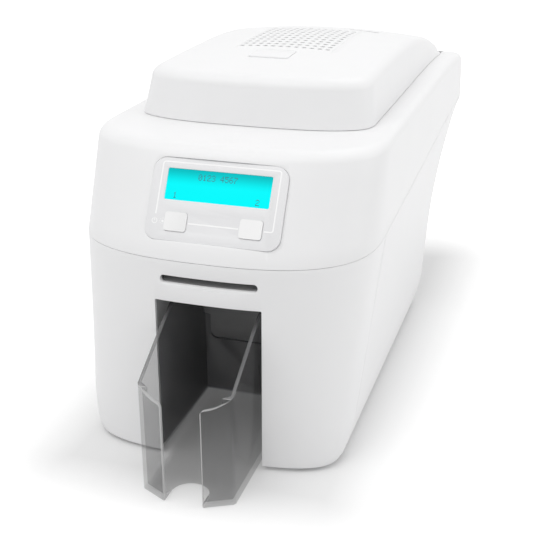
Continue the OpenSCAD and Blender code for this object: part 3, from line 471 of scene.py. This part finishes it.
def halfRing(width, front, bow, corner, rear, radius, steps=None, sides=None, rearSteps=None):
    steps = steps or bodyForm["frontSteps"]
    sides = sides or bodyForm["sideSteps"]
    rearSteps = rearSteps or bodyForm["cornerSteps"]
    points = []
    for i in range(steps + 1):
        x = width * math.sin(math.radians(90 * i / steps)) ** (2 / bodyForm["cornerPower"])
        points.append((x, front + frontBow(x, width, bow, corner)))
    start = front + bow + corner
    end = rear - radius
    points += [(width, start + (end - start) * i / (sides + 1)) for i in range(1, sides + 1)]
    for i in range(rearSteps + 1):
        a = math.radians(90 * i / rearSteps)
        points.append((width - radius + radius * math.cos(a), end + radius * math.sin(a)))
    points.append((0, rear))
    return points


def skin(name, halves):
    h = len(halves[0]) - 1
    m = 2 * h
    points = []
    for half in halves:
        points += list(half) + [(-half[m - i][0], half[m - i][1], half[m - i][2]) for i in range(h + 1, m)]
    faces = []
    for k in range(len(halves) - 1):
        for i in range(m):
            j = (i + 1) % m
            faces.append((k * m + i, k * m + j, (k + 1) * m + j, (k + 1) * m + i))
    top = (len(halves) - 1) * m
    for base in (0, top):
        faces.append((base, base + 1, base + m - 1))
        faces += [(base + i, base + i + 1, base + m - i - 1, base + m - i) for i in range(1, h - 2)]
        faces.append(tuple(base + i for i in range(h - 2, h + 3)))
    piece = meshFrom(name, points, faces)
    fixNormals(piece)
    return piece


footRoll = [(3, 14.6), (4, 13.9), (6, 12.6), (9, 11.5), (12, 10.6), (16, 9.7), (21, 8.8), (26, 8.1), (32, 7.5)]


def lowerLevel(z, width, t):
    f = z / seamZ
    bow = bodyForm["bow"]
    ring = halfRing(width - t, t, bow * f + 0.5 - 0.5 * f, creaseY(z) - bow * f, bodyLength - t,
                    bodyForm["rearRound"] - t)
    return [(x, y, z) for x, y in ring]


def lowerForm(t):
    footTop, draft = bodyForm["footTop"], bodyForm["sideDraft"]
    rolls = [lowerLevel(z + (t if z < footTop else 0), halfWidth - inset, t) for z, inset in footRoll]
    sides = [lowerLevel(z, halfWidth - draft * (seamZ + 1 - z) / (seamZ + 1 - footTop), t)
             for z in range(44, 147, 14)]
    top = [lowerLevel(seamZ + 1, halfWidth, t), lowerLevel(seamZ + 26, halfWidth, t)]
    return cut(skin("lower", rolls + sides + top), [tailVoid(t)])


def tailVoid(t):
    tailY, foot, rise = bodyForm["tailY"], bodyForm["tailFoot"], bodyForm["tailRise"]
    arc = []
    for i in range(41):
        a = math.radians(90 + 90 * (1 - i / 40))
        arc.append((bodyLength + (bodyLength - tailY + t) * math.cos(a), foot + (rise + t) * math.sin(a)))
    outline = [(tailY - t, -10)] + arc + [(bodyLength + 40, foot + rise + t), (bodyLength + 40, -10)]
    return alongX("tailVoid", outline, -halfWidth - 5, halfWidth + 5)


def seamCutter(dz, above):
    edge = [(-80, seamZ + dz), (creaseTop, seamZ + dz), (bodyLength + 20, seamAt(bodyLength + 20) + dz)]
    far = 400 if above else -20
    return alongX("seamCutter", edge + [(bodyLength + 20, far), (-80, far)], -halfWidth - 6, halfWidth + 6)


def creaseCutter(dy):
    low, high = -1, seamZ + 40
    outline = [(-80, low), (creaseY(low) + dy, low), (creaseY(high) + dy, high), (-80, high)]
    return alongX("creaseCutter", outline, -halfWidth - 5, halfWidth + 5)


def lowerShell():
    shell = cut(lowerForm(0), [lowerForm(bodyForm["wall"]), seamCutter(-bodyForm["gap"] / 2, True)])
    floorPlan = [(-78, 295), (-78, 14), (-64, 8.2), (64, 8.2), (78, 14), (78, 295)]
    return cut(shell, [alongZ("floorOpening", floorPlan, -1, 11)])


bayForm = {
    "low": 7.5,
    "top": 117.5,
    "half": 36.5,
    "corner": 1,
}
slotForm = {
    "shift": 1.2,
    "length": 66,
    "height": 5.2,
    "endRound": 2.59,
    "fillet": 2.4,
}
rearPorts = [  # centre, width, height and corner radius
    ((-52, 42), 27.6, 20, 3),
    ((-22, 42), 13.2, 19.6, 0.3),
    ((18, 39), 12.4, 11.4, 0.4),
    ((46, 40), 16.4, 13.4, 0.4),
]


def bayOutline():
    low, top, half, radius = bayForm["low"], bayForm["top"], bayForm["half"], bayForm["corner"]
    points = [(cardX - half, low), (cardX + half, low)]
    for i in range(9):
        a = math.radians(90 * i / 8)
        points.append((cardX + half - radius + radius * math.cos(a), top - radius + radius * math.sin(a)))
    for i in range(9):
        a = math.radians(90 + 90 * i / 8)
        points.append((cardX - half + radius + radius * math.cos(a), top - radius + radius * math.sin(a)))
    return points


def slotCutter():
    s = slotForm
    radius, bow = s["fillet"], bodyForm["bow"]
    turns = [math.radians(15 * k) for k in range(7)]
    fillet = [(radius * (1 - math.cos(t)), radius * (1 - math.sin(t))) for t in turns]
    levels = [(-6, radius)] + fillet + [(60, 0)]
    outline = roundedRect(cardX + s["shift"], pathZ, s["length"], s["height"], s["endRound"])
    return loft("slot", [[(x, y + bow * (x / halfWidth) ** 2, z - (drop if z < pathZ else 0))
                          for x, z in outline] for y, drop in levels])


def makeLowerBody():
    shell = lowerShell()
    fascia = shell.copy()
    fascia.data = shell.data.copy()
    scene.collection.objects.link(fascia)
    gap = bodyForm["gap"]
    cutters = [creaseCutter(gap / 2)]
    for (x, z), width, height, radius in rearPorts:
        cutters.append(alongY("port", roundedRect(x, z, width, height, radius, 6), 280, 340))
    cut(shell, cutters)
    shell.name = "lowerHousing"
    dress(smooth(soften(shell, 0.4)), "lower_housing")
    cut(fascia, [creaseCutter(-gap / 2)], "INTERSECT")
    bay = alongY("bay", bayOutline(), -30, 60)
    foot = block("bayFoot", (cardX - bayForm["half"], -30, -1), (cardX + bayForm["half"], 60, 11))
    cut(fascia, [bay, foot, slotCutter()])
    fascia.name = "frontFascia"
    dress(smooth(soften(fascia, 0.6, 40, 3)), "front_fascia")


makeLowerBody()
print("lower body made")


upperShape = {
    "height": 66,
    "lean": 12,
    "corner": 76.4,
    "bowLoss": 4.6,
    "cornerLoss": 16,
    "edgeFall": 6.5,
    "edgeInset": 6.4,
    "dropFrom": 320,
    "dropLength": 125,
    "drop": 6,
    "dropShare": 0.45,
    "panelZ": 180,
    "panelY": 2.2,
}


def deckDrop(y):
    u = upperShape
    return 0 if y < u["dropFrom"] else u["drop"] * ((y - u["dropFrom"]) / u["dropLength"]) ** 2


def upperLevel(z, inset, t):
    u = upperShape
    f = max(0, z - seamZ) / u["height"]
    lean = u["lean"] * f ** 1.5
    d = inset + t
    front = bodyForm["faceSlope"] * max(0, z - seamZ) + 0.6 * f + 1.1 * d
    ring = halfRing(halfWidth - d, front, bodyForm["bow"] - u["bowLoss"] * f, u["corner"] - u["cornerLoss"] * f,
                    bodyLength - lean - d, max(4, bodyForm["rearRound"] - d))
    share = min(1, max(0, (f - u["dropShare"]) / u["dropShare"]))
    return [(x, y, z - deckDrop(y) * share) for x, y in ring]


def upperForm(t):
    levels = [upperLevel(seamZ - 6 - 4 * t, 0, t)]
    levels += [upperLevel(seamZ + rise, 0, t) for rise in (0.2, 10, 20, 34, 42, 50)]
    for i in range(9):
        a = math.radians(90 * i / 8)
        z = deckZ - upperShape["edgeFall"] * (1 - math.sin(a)) - t * math.sin(a)
        levels.append(upperLevel(z, upperShape["edgeInset"] * (1 - math.cos(a)), t))
    return skin("upper", levels)


faceTilt = math.atan(1 / bodyForm["faceSlope"])
panelZ = upperShape["panelZ"]
facePlace = (cardX, upperShape["panelY"] + (panelZ - seamZ) * bodyForm["faceSlope"], panelZ)


def onFace(u, v, n):
    c, s = math.cos(faceTilt), math.sin(faceTilt)
    return (facePlace[0] + u, facePlace[1] + v * c - n * s, facePlace[2] + v * s + n * c)


def facePrism(name, outline, n1, n2):
    return prism(name, outline, lambda u, v, end: onFace(u, v, n2 if end else n1))


def makeUpperBody():
    shell = cut(upperForm(0), [upperForm(bodyForm["wall"]), seamCutter(bodyForm["gap"] / 2, False)])
    cut(shell, [
        facePrism("panelHole", roundedRect(0, 0, 92, 55, 9, 12), -12, 8),
        block("ribbonOpening", (-66, 106, deckZ - 20), (72, 278, deckZ + 20)),
        block("feederOpening", (cardX - 34, 292, deckZ - 20), (cardX + 34, 390, deckZ + 20)),
        block("hingePocket", (-84.5, 412, deckZ - 20), (84.5, 434.7, deckZ + 20)),
    ])
    shell.name = "upperHousing"
    dress(smooth(soften(shell, 0.4)), "upper_housing")


makeUpperBody()
print("upper body made")


hoodForm = {
    "halfWidth": 85.5,
    "front": 93.0,
    "rear": 434.0,
    "edgeRound": 9.0,
    "sideDraft": 3.2,
    "frontDraft": 9,
    "topY": 230,
    "topZ": 245.5,
    "frontFall": 1.5,
    "frontReach": 140,
    "rearFall": 36.5,
    "rearReach": 262,
    "rearShare": 0.3745,
    "crownHeight": 4.9,
    "crownFrom": 98,
    "crownLength": 336,
    "fadeTo": 150,
    "fadeLength": 40,
    "lidHalf": 49.0,
    "lidFront": 294.0,
    "lidRear": 392.0,
}


def shoulder(y):
    h = hoodForm
    if y < h["topY"]:
        return h["topZ"] - h["frontFall"] * ((h["topY"] - y) / h["frontReach"]) ** 2
    fall = 1 - math.sqrt(max(0, 1 - ((y - h["topY"]) / h["rearReach"]) ** 2))
    return h["topZ"] - h["rearFall"] * fall / h["rearShare"]


def crown(y):
    h = hoodForm
    rise = 1 - (max(0, h["fadeTo"] - y) / h["fadeLength"]) ** 2
    wave = math.sin(math.radians(180 * (y - h["crownFrom"]) / h["crownLength"]))
    return h["crownHeight"] * max(0, rise) * max(0, wave) ** 0.6


def hoodBase(y):
    return deckZ + bodyForm["gap"] - deckDrop(y)


def hoodLevel(a, t, foot=False):
    r = hoodForm["edgeRound"]
    turn = r * (1 - math.cos(math.radians(a)))
    inset = (0 if foot else hoodForm["sideDraft"] + turn) + t
    pull = 0 if foot else hoodForm["frontDraft"] + turn
    ring = halfRing(hoodForm["halfWidth"] - inset, hoodForm["front"] + pull + t, 2.6, 30,
                    hoodForm["rear"] - inset * 0.8, 26 - inset * 0.5, 36, 40, 12)
    points = []
    for x, y in ring:
        base = hoodBase(y) - (5 if t else 0)
        top = max(base + 2.2, shoulder(y) - t)
        reach = min(r, (top - base) * 0.7)
        points.append((x, y, base if foot else top - reach * (1 - math.sin(math.radians(a)))))
    return points


def hoodSkin(t):
    levels = [hoodLevel(0, t, True)] + [hoodLevel(a, t) for a in range(0, 91, 10)]
    edge = levels[-1]
    for f in (0.93, 0.86, 0.78, 0.7, 0.6, 0.5, 0.4, 0.3, 0.2, 0.1):
        levels.append([(x * f, y, z + crown(y) * (1 - f * f)) for x, y, z in edge])
    return skin("hood", levels)


def lidBlock(grow):
    half = hoodForm["lidHalf"] + grow
    return block("lidBlock", (-half, hoodForm["lidFront"] - grow, 190), (half, hoodForm["lidRear"], 280))


def barAlongX(name, y, z, radius, x1, x2, steps=32):
    turns = [2 * math.pi * i / steps for i in range(steps)]
    outline = [(y + radius * math.cos(a), z + radius * math.sin(a)) for a in turns]
    return alongX(name, outline, x1, x2)


def hoodShell():
    return cut(hoodSkin(0), [hoodSkin(bodyForm["wall"])])


def makeHood():
    half = hoodForm["lidHalf"]
    lidRear = hoodForm["lidRear"]
    axisZ = shoulder(lidRear) - 3
    cover = hoodShell()
    lid = cover.copy()
    lid.data = cover.data.copy()
    scene.collection.objects.link(lid)
    cut(cover, [
        lidBlock(0.4),
        barAlongX("barrelRoom", lidRear, axisZ, 4.6, -half - 0.4, half + 0.4),
        block("barrelSlot", (-half - 0.4, lidRear - 1, 200), (half + 0.4, lidRear + 5.6, 240)),
        block("grilleOpening", (-37.6, 182, 225), (37.6, 282, 265)),
        alongZ("buttonHole", roundedRect(-2, 164, 30.6, 26.6, 3.3), 225, 265),
    ])
    posts = [alongZ("post", roundedRect(x, y, 7, 7, 3.49), 232, 244.9) for x in (-60, 60) for y in (214.5, 257.5)]
    cut(cover, posts, "UNION")
    cover.name = "topCover"
    dress(smooth(soften(cover, 0.35)), "top_cover")
    cut(lid, [lidBlock(0)], "INTERSECT")
    notch = [(25, 290), (49.2, 290), (49.2, 299.5), (25, 297)]
    cut(lid, [alongZ("fingerNotch", notch, 225, 265)])
    cut(lid, [barAlongX("barrel", lidRear, axisZ, 4, -half + 2, half - 2)], "UNION")
    lid.name = "feederLid"
    dress(smooth(soften(lid, 0.35)), "feeder_lid")


makeHood()
print("hood made")


grilleForm = {
    "columns": 12,
    "rows": 11,
    "pitchX": 6.1,
    "pitchY": 8.65,
    "slotLong": 3.8,
    "slotShort": 3.2,
    "frontY": 186.4,
    "centreX": -0.7,
    "thick": 2.2,
    "sink": 0.05,
    "bevel": 0.6,
    "halfWidth": 37.4,
    "from": 182.1,
    "to": 281.9,
}


def hoodTop(x, y, drop):
    reach = hoodForm["halfWidth"] - hoodForm["sideDraft"] - hoodForm["edgeRound"]
    return shoulder(y) + crown(y) * (1 - (x / reach) ** 2) - drop


def makeGrille():
    g = grilleForm
    work = bmesh.new()
    found = {}

    def corner(x, y, under):
        key = (round(x, 3), round(y, 3), under)
        if key not in found:
            z = hoodTop(x, y, g["sink"] + (g["thick"] if under else 0))
            found[key] = work.verts.new((x * mm, (y - originY) * mm, z * mm))
        return found[key]

    def face(points, under):
        verts = [corner(x, y, under) for x, y in points]
        if len(set(verts)) > 2:
            try:
                work.faces.new(verts)
            except ValueError:
                pass

    half = g["columns"] * g["pitchX"] / 2
    left, right = -g["halfWidth"], g["halfWidth"]
    low, high = g["from"], g["to"]
    hx, hy, bevel = g["slotLong"] / 2, g["slotShort"] / 2, g["bevel"]
    for row in range(g["rows"]):
        y0 = g["frontY"] + row * g["pitchY"]
        y1 = y0 + g["pitchY"]
        for column in range(g["columns"]):
            x0 = g["centreX"] - half + column * g["pitchX"]
            x1 = x0 + g["pitchX"]
            cx, cy = (x0 + x1) / 2, (y0 + y1) / 2
            rim = [(x0, y0), (cx, y0), (x1, y0), (x1, cy), (x1, y1), (cx, y1), (x0, y1), (x0, cy)]
            hole = [(cx - hx + bevel, cy - hy), (cx, cy - hy), (cx + hx - bevel, cy - hy), (cx + hx, cy),
                    (cx + hx - bevel, cy + hy), (cx, cy + hy), (cx - hx + bevel, cy + hy), (cx - hx, cy)]
            for i in range(8):
                j = (i + 1) % 8
                for under in (False, True):
                    face([rim[i], rim[j], hole[j], hole[i]], under)
                work.faces.new([corner(*hole[i], False), corner(*hole[j], False),
                                corner(*hole[j], True), corner(*hole[i], True)])
    frontY, backY = g["frontY"], g["frontY"] + g["rows"] * g["pitchY"]
    leftX, rightX = g["centreX"] - half, g["centreX"] + half
    edgeXs = [left] + [leftX + i * g["pitchX"] / 2 for i in range(2 * g["columns"] + 1)] + [right]
    for under in (False, True):
        for x0, x1 in zip(edgeXs, edgeXs[1:]):
            face([(x0, low), (x1, low), (x1, frontY), (x0, frontY)], under)
            face([(x0, backY), (x1, backY), (x1, high), (x0, high)], under)
        for row in range(g["rows"]):
            y0 = frontY + row * g["pitchY"]
            y1 = y0 + g["pitchY"]
            face([(left, y0), (leftX, y0), (leftX, (y0 + y1) / 2), (leftX, y1), (left, y1)], under)
            face([(rightX, y0), (right, y0), (right, y1), (rightX, y1), (rightX, (y0 + y1) / 2)], under)
    keyOf = {vert: key for key, vert in found.items()}
    for edge in [e for e in work.edges if len(e.link_faces) == 1]:
        (ax, ay, under), (bx, by, _) = (keyOf[vert] for vert in edge.verts)
        if not under:
            work.faces.new([found[ax, ay, False], found[bx, by, False],
                            found[bx, by, True], found[ax, ay, True]])
    bmesh.ops.recalc_face_normals(work, faces=work.faces)
    mesh = bpy.data.meshes.new("ventGrille")
    work.to_mesh(mesh)
    work.free()
    return newObject("ventGrille", mesh)


dress(smooth(makeGrille(), 30), "vent_grille")
print("grille made")


panelForm = {
    "width": 91.6,
    "height": 54.6,
    "corner": 8.8,
    "displayV": 10.0,
    "displayWidth": 71.0,
    "displayHeight": 20.8,
    "keyU": (-25.0, 26.0),
    "keyV": -14.6,
    "lineWidth": 0.85,
    "signV": -15,
    "windowRoom": 0.3,
}


def makePanel():
    p = panelForm
    plate = facePrism("controlPanel", roundedRect(0, 0, p["width"], p["height"], p["corner"], 12), -4.6, 0.3)
    cut(plate, [
        facePrism("hollow", roundedRect(0, 0, 83, 49, 6, 8), -6, -0.8),
        facePrism("window", roundedRect(0, p["displayV"], p["displayWidth"], p["displayHeight"], 1), -3, 3),
    ])
    cut(plate, [facePrism("keyHole", roundedRect(u, p["keyV"], 15.3, 12.7, 2), -3, 3) for u in p["keyU"]])
    dress(smooth(soften(plate, 0.35, 40, 3)), "control_panel")
    for u, node, name in ((p["keyU"][0], "left_key", "leftKey"), (p["keyU"][1], "right_key", "rightKey")):
        cap = facePrism(name, roundedRect(u, p["keyV"], 15, 12.4, 1.8, 10), -2.4, 1.2)
        skirt = facePrism("skirt", roundedRect(u, p["keyV"], 17, 14.4, 3, 10), -2.4, -1.5)
        cut(cap, [skirt], "UNION")
        dress(smooth(soften(cap, 0.5, 50, 4)), node)
    room = p["windowRoom"]
    pane = roundedRect(0, p["displayV"], p["displayWidth"] - room, p["displayHeight"] - room, 0.9)
    glass = facePrism("displayWindow", pane, -0.9, 0.1)
    dress(smooth(soften(glass, 0.15)), "display_window")


def sign(name, outlines, height=0.03, finish="print_white", base=0.3):
    parts = [facePrism(name, outline, base, base + height) for outline in outlines]
    first = parts[0]
    work = bmesh.new()
    for part in parts:
        work.from_mesh(part.data)
    work.to_mesh(first.data)
    work.free()
    for part in parts[1:]:
        bpy.data.objects.remove(part)
    first.data.materials.append(finishes[finish])
    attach(first, "body")


def strip(points, width):
    left, right = [], []
    for i, (u, v) in enumerate(points):
        before = points[max(0, i - 1)]
        after = points[min(len(points) - 1, i + 1)]
        du, dv = after[0] - before[0], after[1] - before[1]
        size = math.hypot(du, dv)
        nu, nv = -dv / size * width / 2, du / size * width / 2
        left.append((u + nu, v + nv))
        right.append((u - nu, v - nv))
    return left + right[::-1]


def arcPoints(cu, cv, radius, fromA, toA, steps=10):
    turns = [math.radians(fromA + (toA - fromA) * i / steps) for i in range(steps + 1)]
    return [(cu + radius * math.cos(a), cv + radius * math.sin(a)) for a in turns]


def makePanelPrint():
    w, v = panelForm["lineWidth"], panelForm["signV"]
    frameLine = [(-39.5, -10.5)] + arcPoints(-37.9, 22.8, 1.6, 180, 90) + arcPoints(38.9, 22.8, 1.6, 90, 0)
    frameLine += arcPoints(38.9, -13.4, 1.6, 0, -90) + [(34.6, v)]
    lines = [strip(frameLine, w), strip([(-16.4, v), (17.6, v)], w)]
    sign("panelLines", lines)
    ring = strip(arcPoints(-39.6, v, 1.7, 120, 420, 20), 0.45)
    stem = [(-39.8, v), (-39.4, v), (-39.4, -12.8), (-39.8, -12.8)]
    sign("powerSign", [ring, stem])
    lampU, away = -34, 1.9
    dots = [roundedRect(lampU + away * math.cos(a), v + away * math.sin(a), 0.5, 0.5, 0.2, 2)
            for a in [math.radians(45 * k) for k in range(8)]]
    sign("lampSign", dots + [roundedRect(lampU, v, 1.6, 1.6, 0.79, 6)])


digitRows = {
    "0": "01110 10001 10011 10101 11001 10001 01110",
    "1": "00100 01100 00100 00100 00100 00100 01110",
    "2": "01110 10001 00001 00110 01000 10000 11111",
    "3": "01110 10001 00001 00110 00001 10001 01110",
    "4": "00010 00110 01010 10010 11111 00010 00010",
    "5": "11111 10000 11110 00001 00001 10001 01110",
    "6": "00110 01000 10000 11110 10001 10001 01110",
    "7": "11111 00001 00010 00100 01000 01000 01000",
}


def digitCells(text, u, v, cell):
    cells = []
    for place, digit in enumerate(text):
        if digit == " ":
            continue
        for row, bits in enumerate(digitRows[digit].split()):
            for column, bit in enumerate(bits):
                if bit == "1":
                    cu = u + (place * 6 + column) * cell
                    cv = v - row * cell * 1.15
                    cells.append(roundedRect(cu, cv, cell * 0.86, cell * 0.98, 0.02, 1))
    return cells


def makeDisplayDigits():
    cells = digitCells("0123 4567", -14, 17.4, 0.5)
    cells += digitCells("1", -29.5, 4.6, 0.5) + digitCells("2", 26.5, 4.6, 0.5)
    sign("displayDigits", cells, 0.02, "display_ink", 0.1)


makePanel()
finishes["print_white"] = makeFinish("print_white", (0.97, 0.97, 0.97), 0.5, grain=1500, depth=0.000004)
finishes["display_ink"] = makeFinish("display_ink", (0.0, 0.07, 0.12), 0.3, grain=1500, depth=0.000002)
makePanelPrint()
makeDisplayDigits()
print("panel made")


hopperForm = {
    "centreX": cardX + 0.6,
    "half": 32.2,
    "gapHalf": 13.0,
    "rearTop": 53.5,
    "dip": 1.6,
    "cornerRound": 2.6,
    "notchRound": 5,
    "wall": 2.4,
    "lipTop": 77.6,
    "lipFall": 6.6,
    "lipFrom": -42,
    "lipEdge": 13.4,
    "rimsAbove": 45,
}


def lipCutter(side):
    h = hopperForm
    inner, outer, r = h["gapHalf"] + 0.1, h["half"] - 1, h["cornerRound"]
    curve = []
    for i in range(13):
        s = i / 12
        away = outer + (inner + r - outer) * s
        curve.append((away, h["lipTop"] - h["lipFall"] * s - 4 * h["dip"] * s * (1 - s)))
    low = curve[-1][1]
    turns = [math.radians(a) for a in range(15, 91, 15)]
    curve += [(inner + r - r * math.sin(a), low - r * (1 - math.cos(a))) for a in turns]
    outline = curve + [(inner - 2, low - r), (inner - 2, 90), (outer, 90)]
    return alongY("lipCutter", [(h["centreX"] + side * away, z) for away, z in outline], -60, -43.2)


def shapeHopper(piece):
    h = hopperForm
    r = h["notchRound"]
    room = h["half"] - h["wall"]
    turns = [(-1, math.radians(a)) for a in range(90, -1, -15)] + [(1, math.radians(a)) for a in range(0, 91, 15)]
    notch = [(h["centreX"] + sx * (room - r + r * math.sin(a)), h["rearTop"] + r - r * math.cos(a))
             for sx, a in turns]
    notch += [(h["centreX"] + room, 120), (h["centreX"] - room, 120)]
    cut(piece, [alongY("rearNotch", notch, 79, 84), lipCutter(-1), lipCutter(1)])


def shapeLiner(piece):
    cut(piece, [alongY("bayRoom", bayOutline(), -30, 89.9)])


def shapeGuide(piece):
    for vert in piece.data.vertices:
        if vert.co.y < (12 - originY) * mm:
            vert.co.y -= 0.55 * mm


def easedCopy(node, width):
    source = nodes[node]
    words = node.split("_")
    piece = newObject(words[0] + "".join(w.capitalize() for w in words[1:]), source.data.copy())
    work = bmesh.new()
    work.from_mesh(piece.data)
    bmesh.ops.remove_doubles(work, verts=work.verts, dist=1e-6)
    bmesh.ops.dissolve_limit(work, angle_limit=math.radians(0.5), verts=work.verts, edges=work.edges)
    work.to_mesh(piece.data)
    work.free()
    if node in shapers:
        shapers[node](piece)
    dress(smooth(soften(piece, width, 30)), node, finishOf.get(node))
    # the hopper's rims get a painted edge shade and a painted highlight
    if node == "output_hopper":
        paintEdgeShadeAndHighlight(piece)


# painted light: the hopper's top edges take the painted edge shade, and the front lip's top and inner edges take
# the painted highlight
def paintEdgeShadeAndHighlight(piece):
    h = hopperForm
    lipY = (h["lipFrom"] - originY) * mm
    centre = h["centreX"] * mm
    piece.data.materials.append(finishes["painted_edge_shade"])
    piece.data.materials.append(finishes["bright_rim"])
    for face in piece.data.polygons:
        x, y, z = face.center
        if z > h["rimsAbove"] * mm and face.normal.z > 0.4:
            face.material_index = 2 if y < lipY else 1
        elif y < lipY and abs(x - centre) < h["lipEdge"] * mm and abs(face.normal.x) > 0.6:
            face.material_index = 2


shapers = {"output_hopper": shapeHopper, "hopper_bay": shapeLiner, "card_slot_guide": shapeGuide}
finishOf = {"card_slot_guide": "grey_liner"}
easedWidths = {
    "output_hopper": 0.35,
    "release_button": 0.6,
    "card_slot_guide": 0.4,
    "hopper_bay": 0.5,
    "rubber_feet": 0.5,
    "power_inlet": 0.3,
    "power_rocker": 0.3,
    "interface_sockets": 0.25,
    "card_tray": 0.4,
    "card_weight": 0.5,
    "card_guides": 0.4,
    "cover_frame": 0.4,
    "head_bracket": 0.2,
    "latch_hook": 0.3,
    "heat_sink": 0.2,
    "printhead": 0.2,
    "fan_frame": 0.4,
    "side_frame_left": 0.2,
    "side_frame_right": 0.2,
    "hinge_brackets": 0.3,
    "drive_motor": 0.5,
    "exit_chute": 0.3,
}
for node, width in easedWidths.items():
    easedCopy(node, width)
print("edges eased:", len(easedWidths))
